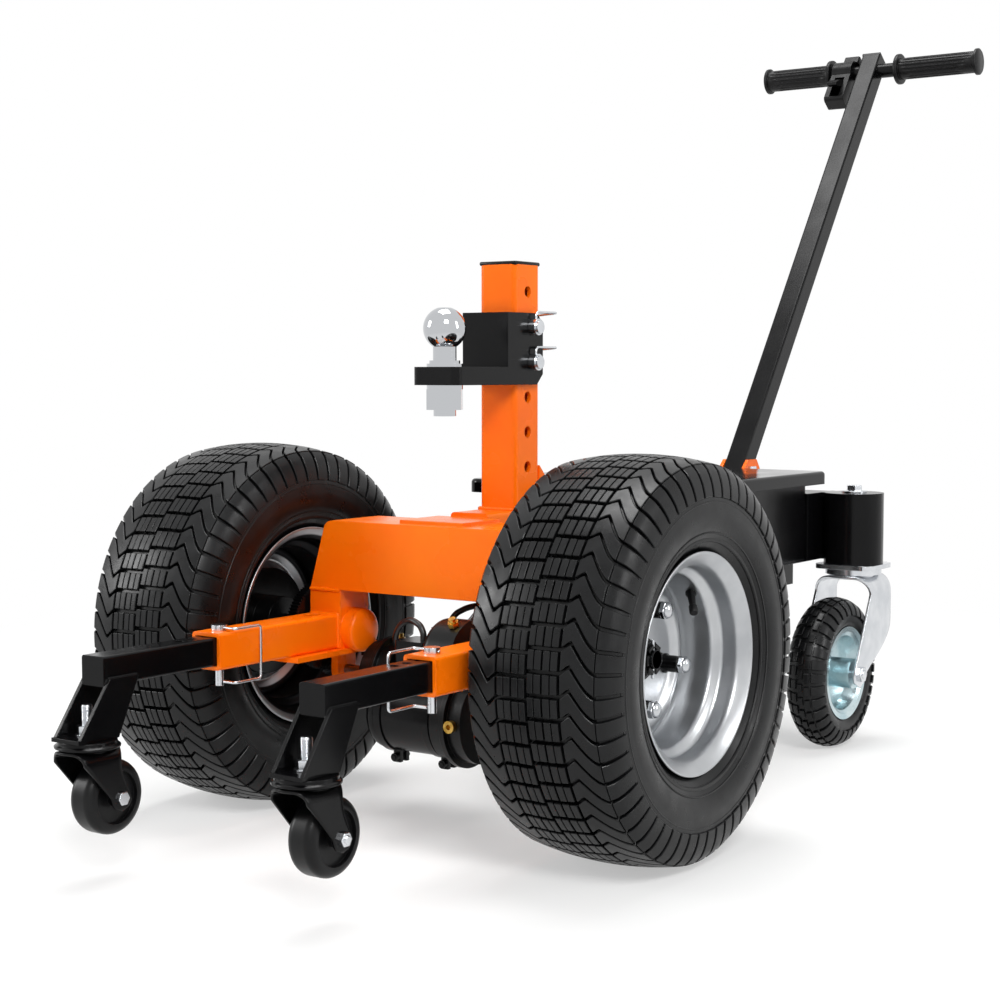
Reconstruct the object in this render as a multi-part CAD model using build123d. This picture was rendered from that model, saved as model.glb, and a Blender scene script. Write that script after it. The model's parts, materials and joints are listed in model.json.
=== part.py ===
from build123d import *
import math
import os

# Electric trailer dolly: two driven wheels, two rear casters, two small front
# casters on telescoping arms, a hitch ball on a drilled post and a pull handle.
# Millimetres, +Z up, X along the axle, the ball in front (-Y), the handle behind.
# Pieces are placed from the axle's middle on the ground and moved at the end, so
# that the origin is the middle of the footprint.

# Drive wheels
tyre_radius = 209.0
tyre_half_width = 82.5
tread_half_width = 70.0
tread_edge_radius = 202.0
tyre_wall = 9.0
rim_lip_radius = 113.5
rim_half_width = 72.0
bead_radius = 101.6
rim_wall = 3.5
drop_radius = 88.0
half_track = 256.5
centre_hole = 24.0
lug_circle_radius = 50.8
lug_count = 4
lug_turn = -13.0
shaft_radius = 10.0
axle_height = tyre_radius

# Clearances
running_fit = 0.05
side_gap = 0.3
slide_gap = 0.4
hole_gap = 0.5

# Main frame
beam_bottom = 256.0
beam_top = 334.0
beam_front = -25.0
beam_rear = 60.0
beam_half_bottom = 162.0
beam_half_top = 139.0
plate_wall = 4.0
leg_width = 44.0
leg_half_depth = 25.0
arm_x = 140.5
arm_size = 30.0
arm_wall = 3.0
sleeve_wall = 4.2
sleeve_front = -218.0
arm_front = -373.0
arm_length = 280.0
arm_travel = 60.0
arm_hole_pitch = 20.0
arm_hole_steps = 3
base_plate_thickness = 6.0
base_plate_front = -105.0
base_plate_rear = 50.0
base_plate_inner = 112.0
bearing_radius = 21.0
bearing_width = 10.0
boss_wall = 4.0
boss_length = 12.0
spine_half_width = 26.0
spine_top = 343.0
spine_bottom = 250.0
spine_rear = 262.0
top_plate_half_width = 43.0
top_plate_thickness = 4.0

# Hitch post and ball
post_y = 140.0
post_size = 50.0
post_wall = 5.0
post_corner = 6.0
post_top = 622.0
post_hole_radius = 6.5
post_hole_pitch = 40.0
post_top_hole = 592.0
post_hole_count = 6
pin_radius = 6.2
ball_y = 14.0
ball_radius = 23.8
mount_plate_top = 506.5
mount_plate_thickness = 20.0
mount_front = -6.0
mount_web_front = 91.0
mount_web_thickness = 7.0
mount_side_wall = 6.0
mount_rear = 162.0
mount_top = 568.0

# Rear chassis, battery box and lid
rail_x = 60.0
rail_size = 40.0
rail_wall = 3.0
rail_bottom = 206.0
box_half_width = 132.0
box_front = 276.0
box_rear = 655.0
box_top = 350.0
box_wall = 2.0
lid_half_width = 150.0
lid_front = 264.0
lid_rear = 682.0
lid_height = 17.0
lid_corner = 14.0
lid_edge = 5.0
lid_rim_cover = 6.0
tray_thickness = 3.0
cross_rear = 742.0
cross_bottom = 241.0
cross_top = 337.0
caster_tube_x = 171.0
caster_tube_y = 720.0
caster_tube_radius = 40.0
caster_tube_wall = 5.0

# Handle
handle_lean = 35.8
handle_size = 30.0
handle_wall = 2.5
handle_pivot_y = 705.5
handle_pivot_z = 361.0
handle_length = 790.0
bar_below_top = 22.0
bar_radius = 11.0
bar_half_length = 172.0
right_grip_length = 126.0
left_grip_length = 110.0
grip_radius = 16.5

# Front casters
front_caster_y = -385.0
front_wheel_radius = 37.5
front_wheel_width = 31.0
front_trail = 24.0
front_clearance = 45.0
bracket_bottom = 143.0
bracket_wall = 4.0
bracket_top_front = -372.0
bracket_top_rear = -333.0
bracket_foot_front = -414.0
bracket_foot_rear = -361.0
bracket_top = 202.0

# Rear casters
rear_wheel_radius = 100.0
rear_wheel_width = 52.0
rear_trail = 66.0
rear_plate_top = 240.7

# Drive unit
motor_y = -51.0
motor_radius = 43.0
motor_left = -32.0
motor_flange = 60.0
case_split = 80.0
case_right = 100.0
gear_width = 12.0
gear_module = 1.25
pinion_teeth = 12
first_gear_teeth = 46
last_gear_teeth = 78
pressure_angle = 25.0
backlash = 0.2

parts = {}


def block(x0, x1, y0, y1, z0, z1):
    return Pos((x0 + x1) / 2, (y0 + y1) / 2, (z0 + z1) / 2) * Box(x1 - x0, y1 - y0, z1 - z0)


def rod_x(radius, x0, x1, y=0.0, z=0.0):
    return Pos((x0 + x1) / 2, y, z) * Rot(0, 90, 0) * Cylinder(radius, x1 - x0)


def rod_y(radius, y0, y1, x=0.0, z=0.0):
    return Pos(x, (y0 + y1) / 2, z) * Rot(90, 0, 0) * Cylinder(radius, y1 - y0)


def rod_z(radius, z0, z1, x=0.0, y=0.0):
    return Pos(x, y, (z0 + z1) / 2) * Cylinder(radius, z1 - z0)


def side_plane(x):
    return Plane(origin=(x, 0, 0), x_dir=(0, 1, 0), z_dir=(1, 0, 0))


def plate_x(points, x0, x1):
    outline = make_face(Polyline(points, close=True))
    return extrude(side_plane(x0) * outline, x1 - x0)


def on_circle(circle, angle):
    return (circle[0] + circle[2] * math.cos(angle), circle[1] + circle[2] * math.sin(angle))


def hull_x(circles, x0, x1):
    """A rounded plate round the circles, each given as (y, z, radius)."""
    order = []
    for step in range(720):
        ny = math.cos(math.radians(step / 2))
        nz = math.sin(math.radians(step / 2))
        reach = [y * ny + z * nz + radius for y, z, radius in circles]
        best = reach.index(max(reach))
        if not order or order[-1] != best:
            order.append(best)
    if len(order) > 1 and order[0] == order[-1]:
        order.pop()
    if len(order) == 1:
        y, z, radius = circles[order[0]]
        return rod_x(radius, x0, x1, y, z)
    normals = []
    for a, b in zip(order, order[1:] + order[:1]):
        y0, z0, r0 = circles[a]
        y1, z1, r1 = circles[b]
        heading = math.atan2(z1 - z0, y1 - y0)
        normals.append(heading - math.acos((r0 - r1) / math.hypot(y1 - y0, z1 - z0)))
    edges = []
    for k, index in enumerate(order):
        circle = circles[index]
        start = normals[k - 1]
        end = normals[k]
        while end < start:
            end += 2 * math.pi
        after = circles[order[(k + 1) % len(order)]]
        edges.append(ThreePointArc(on_circle(circle, start), on_circle(circle, (start + end) / 2),
                                   on_circle(circle, end)))
        edges.append(Line(on_circle(circle, end), on_circle(after, end)))
    return extrude(side_plane(x0) * make_face(edges), x1 - x0)


def hexagon_x(across_flats, x0, x1, y=0.0, z=0.0):
    outline = RegularPolygon(across_flats / 2, 6, major_radius=False)
    return extrude(side_plane(x0) * Pos(y, z) * outline, x1 - x0)


def hexagon_z(across_flats, z0, z1, x=0.0, y=0.0):
    outline = RegularPolygon(across_flats / 2, 6, major_radius=False)
    return extrude(Plane.XY.offset(z0) * Pos(x, y) * outline, z1 - z0)


def to_left(shape):
    return mirror(shape, Plane.YZ)


def to_other_side(shape):
    return Rot(0, 0, 180) * shape


def solids(*shapes):
    found = []
    for shape in shapes:
        found += list(shape.solids())
    return Compound(children=found)


# Drive wheels
def revolved(edges, x, z):
    outline = make_face(edges)
    return Pos(x, 0, z) * revolve(outline, Axis.X, 360)


def tyre(x):
    foot = rim_half_width - 12.5
    outer = [
        ThreePointArc((-tread_half_width, tread_edge_radius), (0, tyre_radius),
                      (tread_half_width, tread_edge_radius)),
        ThreePointArc((tread_half_width, tread_edge_radius),
                      (tyre_half_width - 1.5, tread_edge_radius - 20),
                      (tyre_half_width, tread_edge_radius - 44)),
        ThreePointArc((tyre_half_width, tread_edge_radius - 44),
                      (tyre_half_width - 2, rim_lip_radius + 21),
                      (rim_half_width - 4, rim_lip_radius + 1.5)),
        Line((rim_half_width - 4, rim_lip_radius + 1.5), (rim_half_width - 9.2, rim_lip_radius - 6)),
        Line((rim_half_width - 9.2, rim_lip_radius - 6), (foot, bead_radius + side_gap)),
    ]
    inner = [
        Line((foot, bead_radius + side_gap), (foot - 12, bead_radius + side_gap)),
        Line((foot - 12, bead_radius + side_gap), (tyre_half_width - tyre_wall - 6, rim_lip_radius + 10)),
        ThreePointArc((tyre_half_width - tyre_wall - 6, rim_lip_radius + 10),
                      (tyre_half_width - tyre_wall, tread_edge_radius - 46),
                      (tread_half_width - 4, tread_edge_radius - 13)),
    ]
    cavity_top = ThreePointArc((tread_half_width - 4, tread_edge_radius - 13),
                               (0, tyre_radius - 13),
                               (4 - tread_half_width, tread_edge_radius - 13))
    half = outer[1:] + inner
    left = [edge.mirror(Plane.YZ) for edge in half]
    return revolved([outer[0]] + half + [cavity_top] + left, x, axle_height)


def rim(x):
    w = rim_half_width
    lip = rim_lip_radius
    t = rim_wall
    seat = bead_radius - t
    right = [
        (w, lip), (w - 2, lip), (w - 8, lip - 6), (w - 8.5, bead_radius + 1), (w - 12, bead_radius),
        (w - 28, bead_radius), (w - 34, drop_radius + t), (-w + 34, drop_radius + t),
    ]
    left = [(-w + 28, bead_radius), (-w + 12, bead_radius), (-w + 8.5, bead_radius + 1),
            (-w + 8, lip - 6), (-w + 2, lip), (-w, lip)]
    under = [
        (-w, lip - 2), (-w + 5, seat + 6), (-w + 10, seat + 1), (-w + 14, seat), (-w + 29, seat),
        (-w + 35, drop_radius), (w - 35, drop_radius), (w - 29, seat), (w - 14, seat),
        (w - 10, seat + 1), (w - 5, seat + 6), (w, lip - 2),
    ]
    barrel = revolved(Polyline(right + left + under, close=True), x, axle_height)
    dish = [(-2, centre_hole), (2, centre_hole), (2, 60), (8, 68), (8, 74), (0, drop_radius - 4),
            (0, drop_radius + 1), (-4, drop_radius + 1), (-4, drop_radius - 5.7), (4, 72.6), (4, 69.6),
            (-2, 61.6)]
    disc = revolved(Polyline(dish, close=True), x, axle_height)
    wheel = barrel + disc
    for hole in lug_places(x):
        wheel -= rod_x(6.8, x - 10, x + 20, hole[0], hole[1])
    valve_hole = rod_z(6, axle_height + drop_radius - 12, axle_height + drop_radius + 12, x + 26, 18)
    return wheel - valve_hole


def lug_places(x):
    places = []
    for i in range(lug_count):
        angle = math.radians(lug_turn + 360 / lug_count * i)
        places.append((lug_circle_radius * math.cos(angle), axle_height + lug_circle_radius * math.sin(angle)))
    return places


hub_back = -34.0
hub_nose = 6.0
nose_radius = centre_hole - 2.0
washer_thickness = 2.5
castle_nut_length = 10.5
castle_nut_size = 34.0
nut_seat = 2.0
nut_face = hub_nose + washer_thickness
nut_end = nut_face + castle_nut_length
cotter_x = nut_end - 2.7
shaft_end = nut_end + 2.5


def hub(x):
    z = axle_height
    body = rod_x(62, x - 10, x - 2.2, 0, z) + rod_x(30, x + hub_back, x - 10, 0, z)
    body += rod_x(nose_radius, x - 10, x + hub_nose, 0, z)
    for y, lug_z in lug_places(x):
        body += rod_x(6, x - 4, x + 24, y, lug_z)
    return body - rod_x(shaft_radius + running_fit, x + hub_back - 1, x + hub_nose + 1, 0, z)


last_x0 = beam_half_bottom + 4.0
last_x1 = last_x0 + gear_width


def half_shaft(x):
    """The wheel's shaft with the last gear between the leg and the wheel."""
    shaft = rod_x(shaft_radius, boss_face + side_gap, x + shaft_end, 0, axle_height)
    cotter = rod_z(2.1, axle_height - 12, axle_height + 12, x + cotter_x, 0)
    wheel = gear(last_gear_teeth, last_x0, last_x1, 0, axle_height, last_line)
    return shaft + wheel - cotter


def wheel_fasteners(x):
    pieces = []
    for y, z in lug_places(x):
        nut = rod_x(9.5, x + nut_seat + side_gap, x + 20, y, z) + hexagon_x(17, x + 20, x + 28, y, z)
        nut += rod_x(8, x + 28, x + 32, y, z)
        nut -= rod_x(6 + running_fit, x + nut_seat - 1, x + 25, y, z)
        pieces.append(nut)
    washer = rod_x(19, x + hub_nose, x + nut_face, 0, axle_height)
    washer -= rod_x(shaft_radius + hole_gap, x + hub_nose - 1, x + nut_face + 1, 0, axle_height)
    nut = hexagon_x(castle_nut_size, x + nut_face, x + nut_end, 0, axle_height)
    nut -= rod_x(shaft_radius + running_fit, x + hub_nose, x + nut_end + 2, 0, axle_height)
    for turn in range(0, 180, 60):
        slot = Pos(x + cotter_x, 0, axle_height) * Rot(turn, 0, 0) * Box(6, 4.6, 50)
        nut -= slot
    pin = rod_z(1.9, axle_height - 22, axle_height + 22, x + cotter_x, 0)
    return solids(*pieces, washer, nut, pin)


right_x = half_track
parts["right_tyre"] = tyre(right_x)
parts["right_rim"] = rim(right_x)
parts["right_wheel_fasteners"] = wheel_fasteners(right_x)
parts["left_tyre"] = to_left(tyre(right_x))
parts["left_rim"] = to_other_side(rim(right_x))
parts["left_wheel_fasteners"] = to_other_side(wheel_fasteners(right_x))


# Main frame: folded beam, legs, sleeves, base plates, bearing bosses, spine
sleeve_size = arm_size + 2 * slide_gap + 2 * sleeve_wall
sleeve_half = sleeve_size / 2
sleeve_bottom = axle_height - sleeve_half
boss_face = beam_half_bottom - leg_width - boss_length
pin_y = sleeve_front + 20.0
lock_pin_radius = 4.5


def beam():
    outline = Polyline([(-beam_half_bottom, beam_bottom), (beam_half_bottom, beam_bottom),
                        (beam_half_top, beam_top), (-beam_half_top, beam_top)], close=True)
    front_plane = Plane(origin=(0, beam_rear, 0), x_dir=(1, 0, 0), z_dir=(0, -1, 0))
    body = extrude(front_plane * make_face(outline), beam_rear - beam_front)
    body = fillet(body.edges().filter_by(Axis.Y).sort_by(Axis.Z)[-2:], 12)
    shrink = plate_wall
    hollow = Polyline([(shrink - beam_half_bottom, beam_bottom - 1), (beam_half_bottom - shrink, beam_bottom - 1),
                       (beam_half_top - shrink, beam_top - shrink), (shrink - beam_half_top, beam_top - shrink)],
                      close=True)
    inner_plane = Plane(origin=(0, beam_rear - shrink, 0), x_dir=(1, 0, 0), z_dir=(0, -1, 0))
    body -= extrude(inner_plane * make_face(hollow), beam_rear - beam_front - 2 * shrink)
    return body


def leg_side():
    x0 = beam_half_bottom - leg_width
    x1 = beam_half_bottom
    leg = block(x0, x1, -leg_half_depth, leg_half_depth, sleeve_bottom, beam_bottom)
    leg -= block(x0 + plate_wall, x1 - plate_wall, plate_wall - leg_half_depth, leg_half_depth - plate_wall,
                 sleeve_bottom + plate_wall, beam_bottom + 1)
    boss = rod_x(bearing_radius + boss_wall, x0 - boss_length, x0, 0, axle_height)
    sleeve = block(arm_x - sleeve_half, arm_x + sleeve_half, sleeve_front, -leg_half_depth,
                   sleeve_bottom, axle_height + sleeve_half)
    sleeve = fillet(sleeve.edges().filter_by(Axis.Y), 4)
    sleeve -= block(arm_x - arm_size / 2 - slide_gap, arm_x + arm_size / 2 + slide_gap, sleeve_front - 1,
                    -leg_half_depth, axle_height - arm_size / 2 - slide_gap, axle_height + arm_size / 2 + slide_gap)
    base = block(base_plate_inner, beam_half_bottom, base_plate_front, base_plate_rear,
                 sleeve_bottom - base_plate_thickness, sleeve_bottom)
    side = leg + boss + sleeve + base
    side -= rod_x(bearing_radius, x0 - boss_length - 1, x0 - boss_length + bearing_width, 0, axle_height)
    side -= rod_x(shaft_radius + 3, x0 - boss_length - 1, x1 + 1, 0, axle_height)
    side -= rod_z(lock_pin_radius + hole_gap, sleeve_bottom - 1, axle_height + sleeve_half + 1, arm_x, pin_y)
    slot_bottom = axle_height + arm_size / 2
    slot_top = axle_height + sleeve_half + 1
    for y in (drain_slot_y - 7, drain_slot_y + 7):
        side -= rod_z(drain_slot_width / 2, slot_bottom, slot_top, arm_x, y)
    side -= block(arm_x - drain_slot_width / 2, arm_x + drain_slot_width / 2, drain_slot_y - 7, drain_slot_y + 7,
                  slot_bottom, slot_top)
    return side


def pinion_hanger():
    """A plate below the base plate that carries the countershaft's outer end."""
    foot = sleeve_bottom - base_plate_thickness
    plate = block(hanger_x, hanger_x + hanger_thickness, counter_y - 16, counter_y + 16, counter_z, foot)
    plate += rod_x(16, hanger_x, hanger_x + hanger_thickness, counter_y, counter_z)
    return plate - rod_x(counter_shaft_radius + running_fit, hanger_x - 1, hanger_x + 20, counter_y, counter_z)


def spine():
    tube = block(-spine_half_width, spine_half_width, beam_rear, spine_rear, spine_bottom, spine_top)
    tube = fillet(tube.edges().filter_by(Axis.Y), 5)
    tube -= block(plate_wall - spine_half_width, spine_half_width - plate_wall, beam_rear + plate_wall,
                  spine_rear + 1, spine_bottom + plate_wall, spine_top - plate_wall)
    half_post = post_size / 2
    for x0 in (-half_post, half_post - 6):
        gusset = [(post_y + half_post, spine_top), (post_y + half_post + 48, spine_top),
                  (post_y + half_post + 42, spine_top + 6), (post_y + half_post, spine_top + 50)]
        tube += plate_x(gusset, x0, x0 + 6)
    return tube


def main_frame():
    side = leg_side()
    top_plate = block(-top_plate_half_width, top_plate_half_width, -12, beam_rear, beam_top,
                      beam_top + top_plate_thickness)
    frame = beam() + side + to_left(side) + spine() + top_plate
    frame += pinion_hanger() + to_other_side(pinion_hanger())
    for y in saddle_bolt_places:
        frame -= rod_z(bolt_radius + hole_gap, spine_bottom - 1, spine_bottom + plate_wall + 1, 0, y)
    return frame


bolt_radius = 5.0
saddle_front = 206.0
saddle_half_width = 80.0
saddle_bolt_places = [saddle_front + 14, spine_rear - 14]
counter_shaft_radius = 5.5
hanger_x = 148.0
hanger_thickness = 10.0
drain_slot_y = -48.0
drain_slot_width = 12.0

# Gear train places: the last pair at the wheel, the first pair at the motor
last_distance = gear_module * (pinion_teeth + last_gear_teeth) / 2
first_distance = gear_module * (pinion_teeth + first_gear_teeth) / 2
motor_drop = 74.0
motor_z = axle_height - motor_drop
shaft_span = math.hypot(motor_y, motor_drop)
along = (last_distance ** 2 - first_distance ** 2 + shaft_span ** 2) / 2 / shaft_span
across = math.sqrt(last_distance ** 2 - along ** 2)
unit_y = motor_y / shaft_span
unit_z = -motor_drop / shaft_span
counter_y = unit_y * along - unit_z * across
counter_z = axle_height + unit_z * along + unit_y * across
parts["main_frame"] = main_frame()


# Hitch post with its cross holes and cap
def hitch_post():
    half = post_size / 2
    tube = block(-half, half, post_y - half, post_y + half, spine_top, post_top)
    tube = fillet(tube.edges().filter_by(Axis.Z), post_corner)
    bore = block(post_wall - half, half - post_wall, post_y - half + post_wall, post_y + half - post_wall,
                 spine_top - 1, post_top + 1)
    tube -= bore
    for i in range(post_hole_count):
        z = post_top_hole - i * post_hole_pitch
        tube -= rod_x(post_hole_radius, -half - 1, half + 1, post_y, z)
    cap = block(-half, half, post_y - half, post_y + half, post_top, post_top + 4)
    cap = fillet(cap.edges().filter_by(Axis.Z), post_corner)
    cap = chamfer(cap.edges().group_by(Axis.Z)[-1], 1.5)
    plug = half - post_wall - side_gap
    cap += block(-plug, plug, post_y - plug, post_y + plug, post_top - 14, post_top)
    return solids(tube, cap)


parts["hitch_post"] = hitch_post()


# Ball mount, clamped round the post by two pins
mount_inner = post_size / 2 + side_gap
mount_outer = mount_inner + mount_side_wall
upper_pin_z = post_top_hole - post_hole_pitch
lower_pin_z = upper_pin_z - post_hole_pitch
shank_radius = 12.5


def ball_mount():
    base = mount_plate_top - mount_plate_thickness
    plate = block(-mount_outer, mount_outer, mount_front, post_y - post_size / 2 - side_gap, base, mount_plate_top)
    front_corners = plate.edges().filter_by(Axis.Z).sort_by(Axis.Y)[:2]
    plate = fillet(front_corners, 9)
    web = block(-mount_outer, mount_outer, mount_web_front, mount_web_front + mount_web_thickness,
                mount_plate_top, mount_top)
    body = plate + web
    outline = [(mount_web_front, base), (mount_rear - 12, base), (mount_rear, base + 12),
               (mount_rear, mount_top - 12), (mount_rear - 12, mount_top), (mount_web_front, mount_top)]
    ear = plate_x(outline, mount_inner, mount_outer)
    body += ear + to_left(ear)
    for z in (upper_pin_z, lower_pin_z):
        body -= rod_x(post_hole_radius, -mount_outer - 1, mount_outer + 1, post_y, z)
    body -= rod_z(shank_radius + running_fit, base - 1, mount_plate_top + 1, 0, ball_y)
    return body


parts["ball_mount"] = ball_mount()


def hitch_ball():
    base = mount_plate_top
    neck = base + 20
    centre = neck + 22
    ball = Pos(0, ball_y, centre) * Sphere(ball_radius)
    flat = block(-30, 30, ball_y - 30, ball_y + 30, centre + ball_radius - 1.2, centre + 40)
    ball -= flat
    body = ball + rod_z(13, base, centre - 12, 0, ball_y)
    collar = rod_z(17, base, base + 7, 0, ball_y) + rod_z(20, base, base + 3.5, 0, ball_y)
    under = base - mount_plate_thickness
    body += collar + rod_z(shank_radius, under - 34, base, 0, ball_y)
    washer = rod_z(20, under - 4.5, under, 0, ball_y) - rod_z(shank_radius + hole_gap, under - 6, under + 1, 0, ball_y)
    nut = hexagon_z(38, under - 27, under - 4.5, 0, ball_y)
    nut -= rod_z(shank_radius + running_fit, under - 30, under, 0, ball_y)
    return solids(body, washer, nut)


parts["hitch_ball"] = hitch_ball()
ball_centre_z = mount_plate_top + 42


clip_x = mount_outer + side_gap + 4.5
pin_tail = mount_outer + 14.0
clip_end = mount_outer + 8.0


def hitch_pin(z):
    head = mount_outer + side_gap
    pin = rod_x(pin_radius, -pin_tail, head, post_y, z)
    pin += rod_x(9.5, head, head + 9, post_y, z) + rod_x(7.5, head + 9, head + 11.5, post_y, z)
    return pin - rod_z(wire_radius + 0.2, z - 12, z + 12, clip_x, post_y)


wire_radius = 1.5


def wire_loop(points, radius=wire_radius, bend=7.0):
    path = FilletPolyline(*points, radius=bend)
    start = Plane(path @ 0, z_dir=path % 0)
    return sweep(start * Circle(radius), path=path)


def pin_clip(z):
    """A spring wire from the pin's head round the back of the post, over the pin's end."""
    back = post_y + post_size / 2 + 20
    over = z + pin_radius + wire_radius + 0.5
    points = [(clip_x, post_y, z - 8), (clip_x, post_y, z + 17), (clip_x, back, z + 17),
              (-clip_end, back, over + 2), (-clip_end, post_y - 4, over)]
    return wire_loop(points, bend=5.0)


parts["upper_hitch_pin"] = hitch_pin(upper_pin_z)
parts["lower_hitch_pin"] = hitch_pin(lower_pin_z)
parts["upper_pin_clip"] = pin_clip(upper_pin_z)
parts["lower_pin_clip"] = pin_clip(lower_pin_z)


# Telescoping arms with slanted caster brackets
def arm_tube():
    half = arm_size / 2
    x0 = arm_x - half
    x1 = arm_x + half
    rear = arm_front + arm_length
    tube = block(x0, x1, arm_front, rear, axle_height - half, axle_height + half)
    tube = fillet(tube.edges().filter_by(Axis.Y), 3)
    tube -= block(x0 + arm_wall, x1 - arm_wall, arm_front - 1, rear + 1, axle_height - half + arm_wall,
                  axle_height + half - arm_wall)
    for i in range(-arm_hole_steps, arm_hole_steps + 1):
        y = pin_y + i * arm_hole_pitch
        tube -= rod_z(lock_pin_radius + hole_gap, axle_height - half - 1, axle_height + half + 1, arm_x, y)
    return tube


def arm_cap():
    half = arm_size / 2
    cap = block(arm_x - half, arm_x + half, arm_front - 4, arm_front, axle_height - half, axle_height + half)
    cap = fillet(cap.edges().filter_by(Axis.Y), 3)
    plug = half - arm_wall - side_gap
    cap += block(arm_x - plug, arm_x + plug, arm_front, arm_front + 12, axle_height - plug, axle_height + plug)
    return cap


caster_bolt_radius = 6.0


def caster_bracket():
    half = arm_size / 2
    outline = [(bracket_top_front, bracket_top), (bracket_top_rear, bracket_top),
               (bracket_foot_rear, bracket_bottom), (bracket_foot_front, bracket_bottom)]
    inner = arm_x + half
    right = plate_x(outline, inner, inner + bracket_wall)
    left = plate_x(outline, arm_x - half - bracket_wall, arm_x - half)
    foot = block(arm_x - half - bracket_wall, inner + bracket_wall, bracket_foot_front, bracket_foot_rear,
                 bracket_bottom, bracket_bottom + bracket_wall)
    foot -= rod_z(caster_bolt_radius + running_fit, bracket_bottom - 1, bracket_bottom + bracket_wall + 1,
                  arm_x, front_caster_y)
    return right + left + foot


right_arm_solids = solids(arm_tube() + caster_bracket(), arm_cap())
parts["right_arm"] = right_arm_solids
parts["left_arm"] = to_left(right_arm_solids)


def lock_pin():
    top = axle_height + sleeve_half
    pin = rod_z(lock_pin_radius, lock_pin_bottom, top, arm_x, pin_y)
    pin += rod_z(8.5, top, top + 6, arm_x, pin_y)
    return pin - rod_x(wire_radius + 0.2, arm_x - 15, arm_x + 15, pin_y, top + 3)


def pin_bail(side):
    """Square wire bail, through the pin's head and hooked beside its lower end."""
    x = arm_x - sleeve_half - 3.0
    top = axle_height + sleeve_half + 3
    low = lock_pin_bottom + 4.5
    far = pin_y + side * bail_length
    hook = arm_x - lock_pin_radius - wire_radius - 0.3
    points = [(arm_x + 7, pin_y, top), (x, pin_y, top), (x, far, top), (x, far, low), (x, pin_y, low),
              (hook, pin_y, low)]
    return wire_loop(points, bend=4.0)


lock_pin_bottom = sleeve_bottom - 19.4
bail_length = 40.0
parts["right_lock_pin"] = lock_pin()
parts["left_lock_pin"] = to_left(lock_pin())
parts["right_pin_bail"] = pin_bail(-1)
parts["left_pin_bail"] = to_left(pin_bail(1))


# Front casters
stem_top = bracket_bottom + 34.0
race_top = bracket_bottom
race_bottom = race_top - 11.0


def caster_stem():
    y = front_caster_y
    stem = rod_z(caster_bolt_radius, race_bottom, stem_top, arm_x, y)
    race = rod_z(30, race_top - 4, race_top, arm_x, y) + rod_z(32.5, race_bottom + 3, race_top - 4, arm_x, y)
    race += rod_z(24, race_bottom, race_bottom + 3, arm_x, y)
    nut = hexagon_z(19, race_top + bracket_wall, race_top + bracket_wall + 10, arm_x, y)
    nut -= rod_z(caster_bolt_radius + running_fit, race_top, race_top + 30, arm_x, y)
    return solids(stem + race, nut)


front_axle_z = front_clearance + front_wheel_radius
front_axle_y = front_caster_y + front_trail
fork_gap = front_wheel_width / 2 + 1.0
fork_wall = 3.0


def front_fork():
    y = front_caster_y
    top = race_bottom - side_gap
    crown = rod_z(31, top - 4, top, arm_x, y)
    outline = [(y - 29, top - 4), (y + 29, top - 4), (front_axle_y + 15, front_axle_z + 4),
               (front_axle_y + 11, front_axle_z - 11), (front_axle_y - 11, front_axle_z - 11),
               (y - 22, front_axle_z + 14)]
    inner = arm_x + fork_gap
    cheek = plate_x(outline, inner, inner + fork_wall)
    other = plate_x(outline, arm_x - fork_gap - fork_wall, arm_x - fork_gap)
    fork = crown + cheek + other
    fork -= rod_x(4 + running_fit, arm_x - 40, arm_x + 40, front_axle_y, front_axle_z)
    end = fork_gap + fork_wall
    bolt = rod_x(4, arm_x - end, arm_x + end + 9, front_axle_y, front_axle_z)
    bolt += hexagon_x(13, arm_x - end - 6, arm_x - end, front_axle_y, front_axle_z)
    nut = hexagon_x(13, arm_x + end, arm_x + end + 7, front_axle_y, front_axle_z)
    nut -= rod_x(4 + running_fit, arm_x, arm_x + 60, front_axle_y, front_axle_z)
    return solids(fork, bolt, nut)


def front_wheel():
    half = front_wheel_width / 2
    r = front_wheel_radius
    tread = rod_x(r, arm_x - half, arm_x + half, front_axle_y, front_axle_z)
    tread = fillet(tread.edges(), 9)
    tread -= rod_x(r - 11, arm_x + half - 5, arm_x + half + 1, front_axle_y, front_axle_z)
    tread -= rod_x(r - 11, arm_x - half - 1, arm_x - half + 5, front_axle_y, front_axle_z)
    boss = rod_x(9, arm_x - half, arm_x + half, front_axle_y, front_axle_z)
    return tread + boss - rod_x(4 + running_fit, arm_x - 30, arm_x + 30, front_axle_y, front_axle_z)


parts["right_caster_stem"] = caster_stem()
parts["left_caster_stem"] = to_left(caster_stem())
parts["right_front_fork"] = front_fork()
parts["left_front_fork"] = to_left(front_fork())
parts["right_front_wheel"] = front_wheel()
parts["left_front_wheel"] = to_left(front_wheel())


# Rear chassis: rails, tray, cross member and caster tubes
rail_top = rail_bottom + rail_size
rail_front = saddle_front
cross_front = box_rear + 2.0


def rail():
    half = rail_size / 2
    tube = block(rail_x - half, rail_x + half, rail_front, cross_rear - 20, rail_bottom, rail_top)
    tube -= block(rail_x - half + rail_wall, rail_x + half - rail_wall, rail_front + 3, cross_rear - 23,
                  rail_bottom + rail_wall, rail_top - rail_wall)
    return tube


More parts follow.
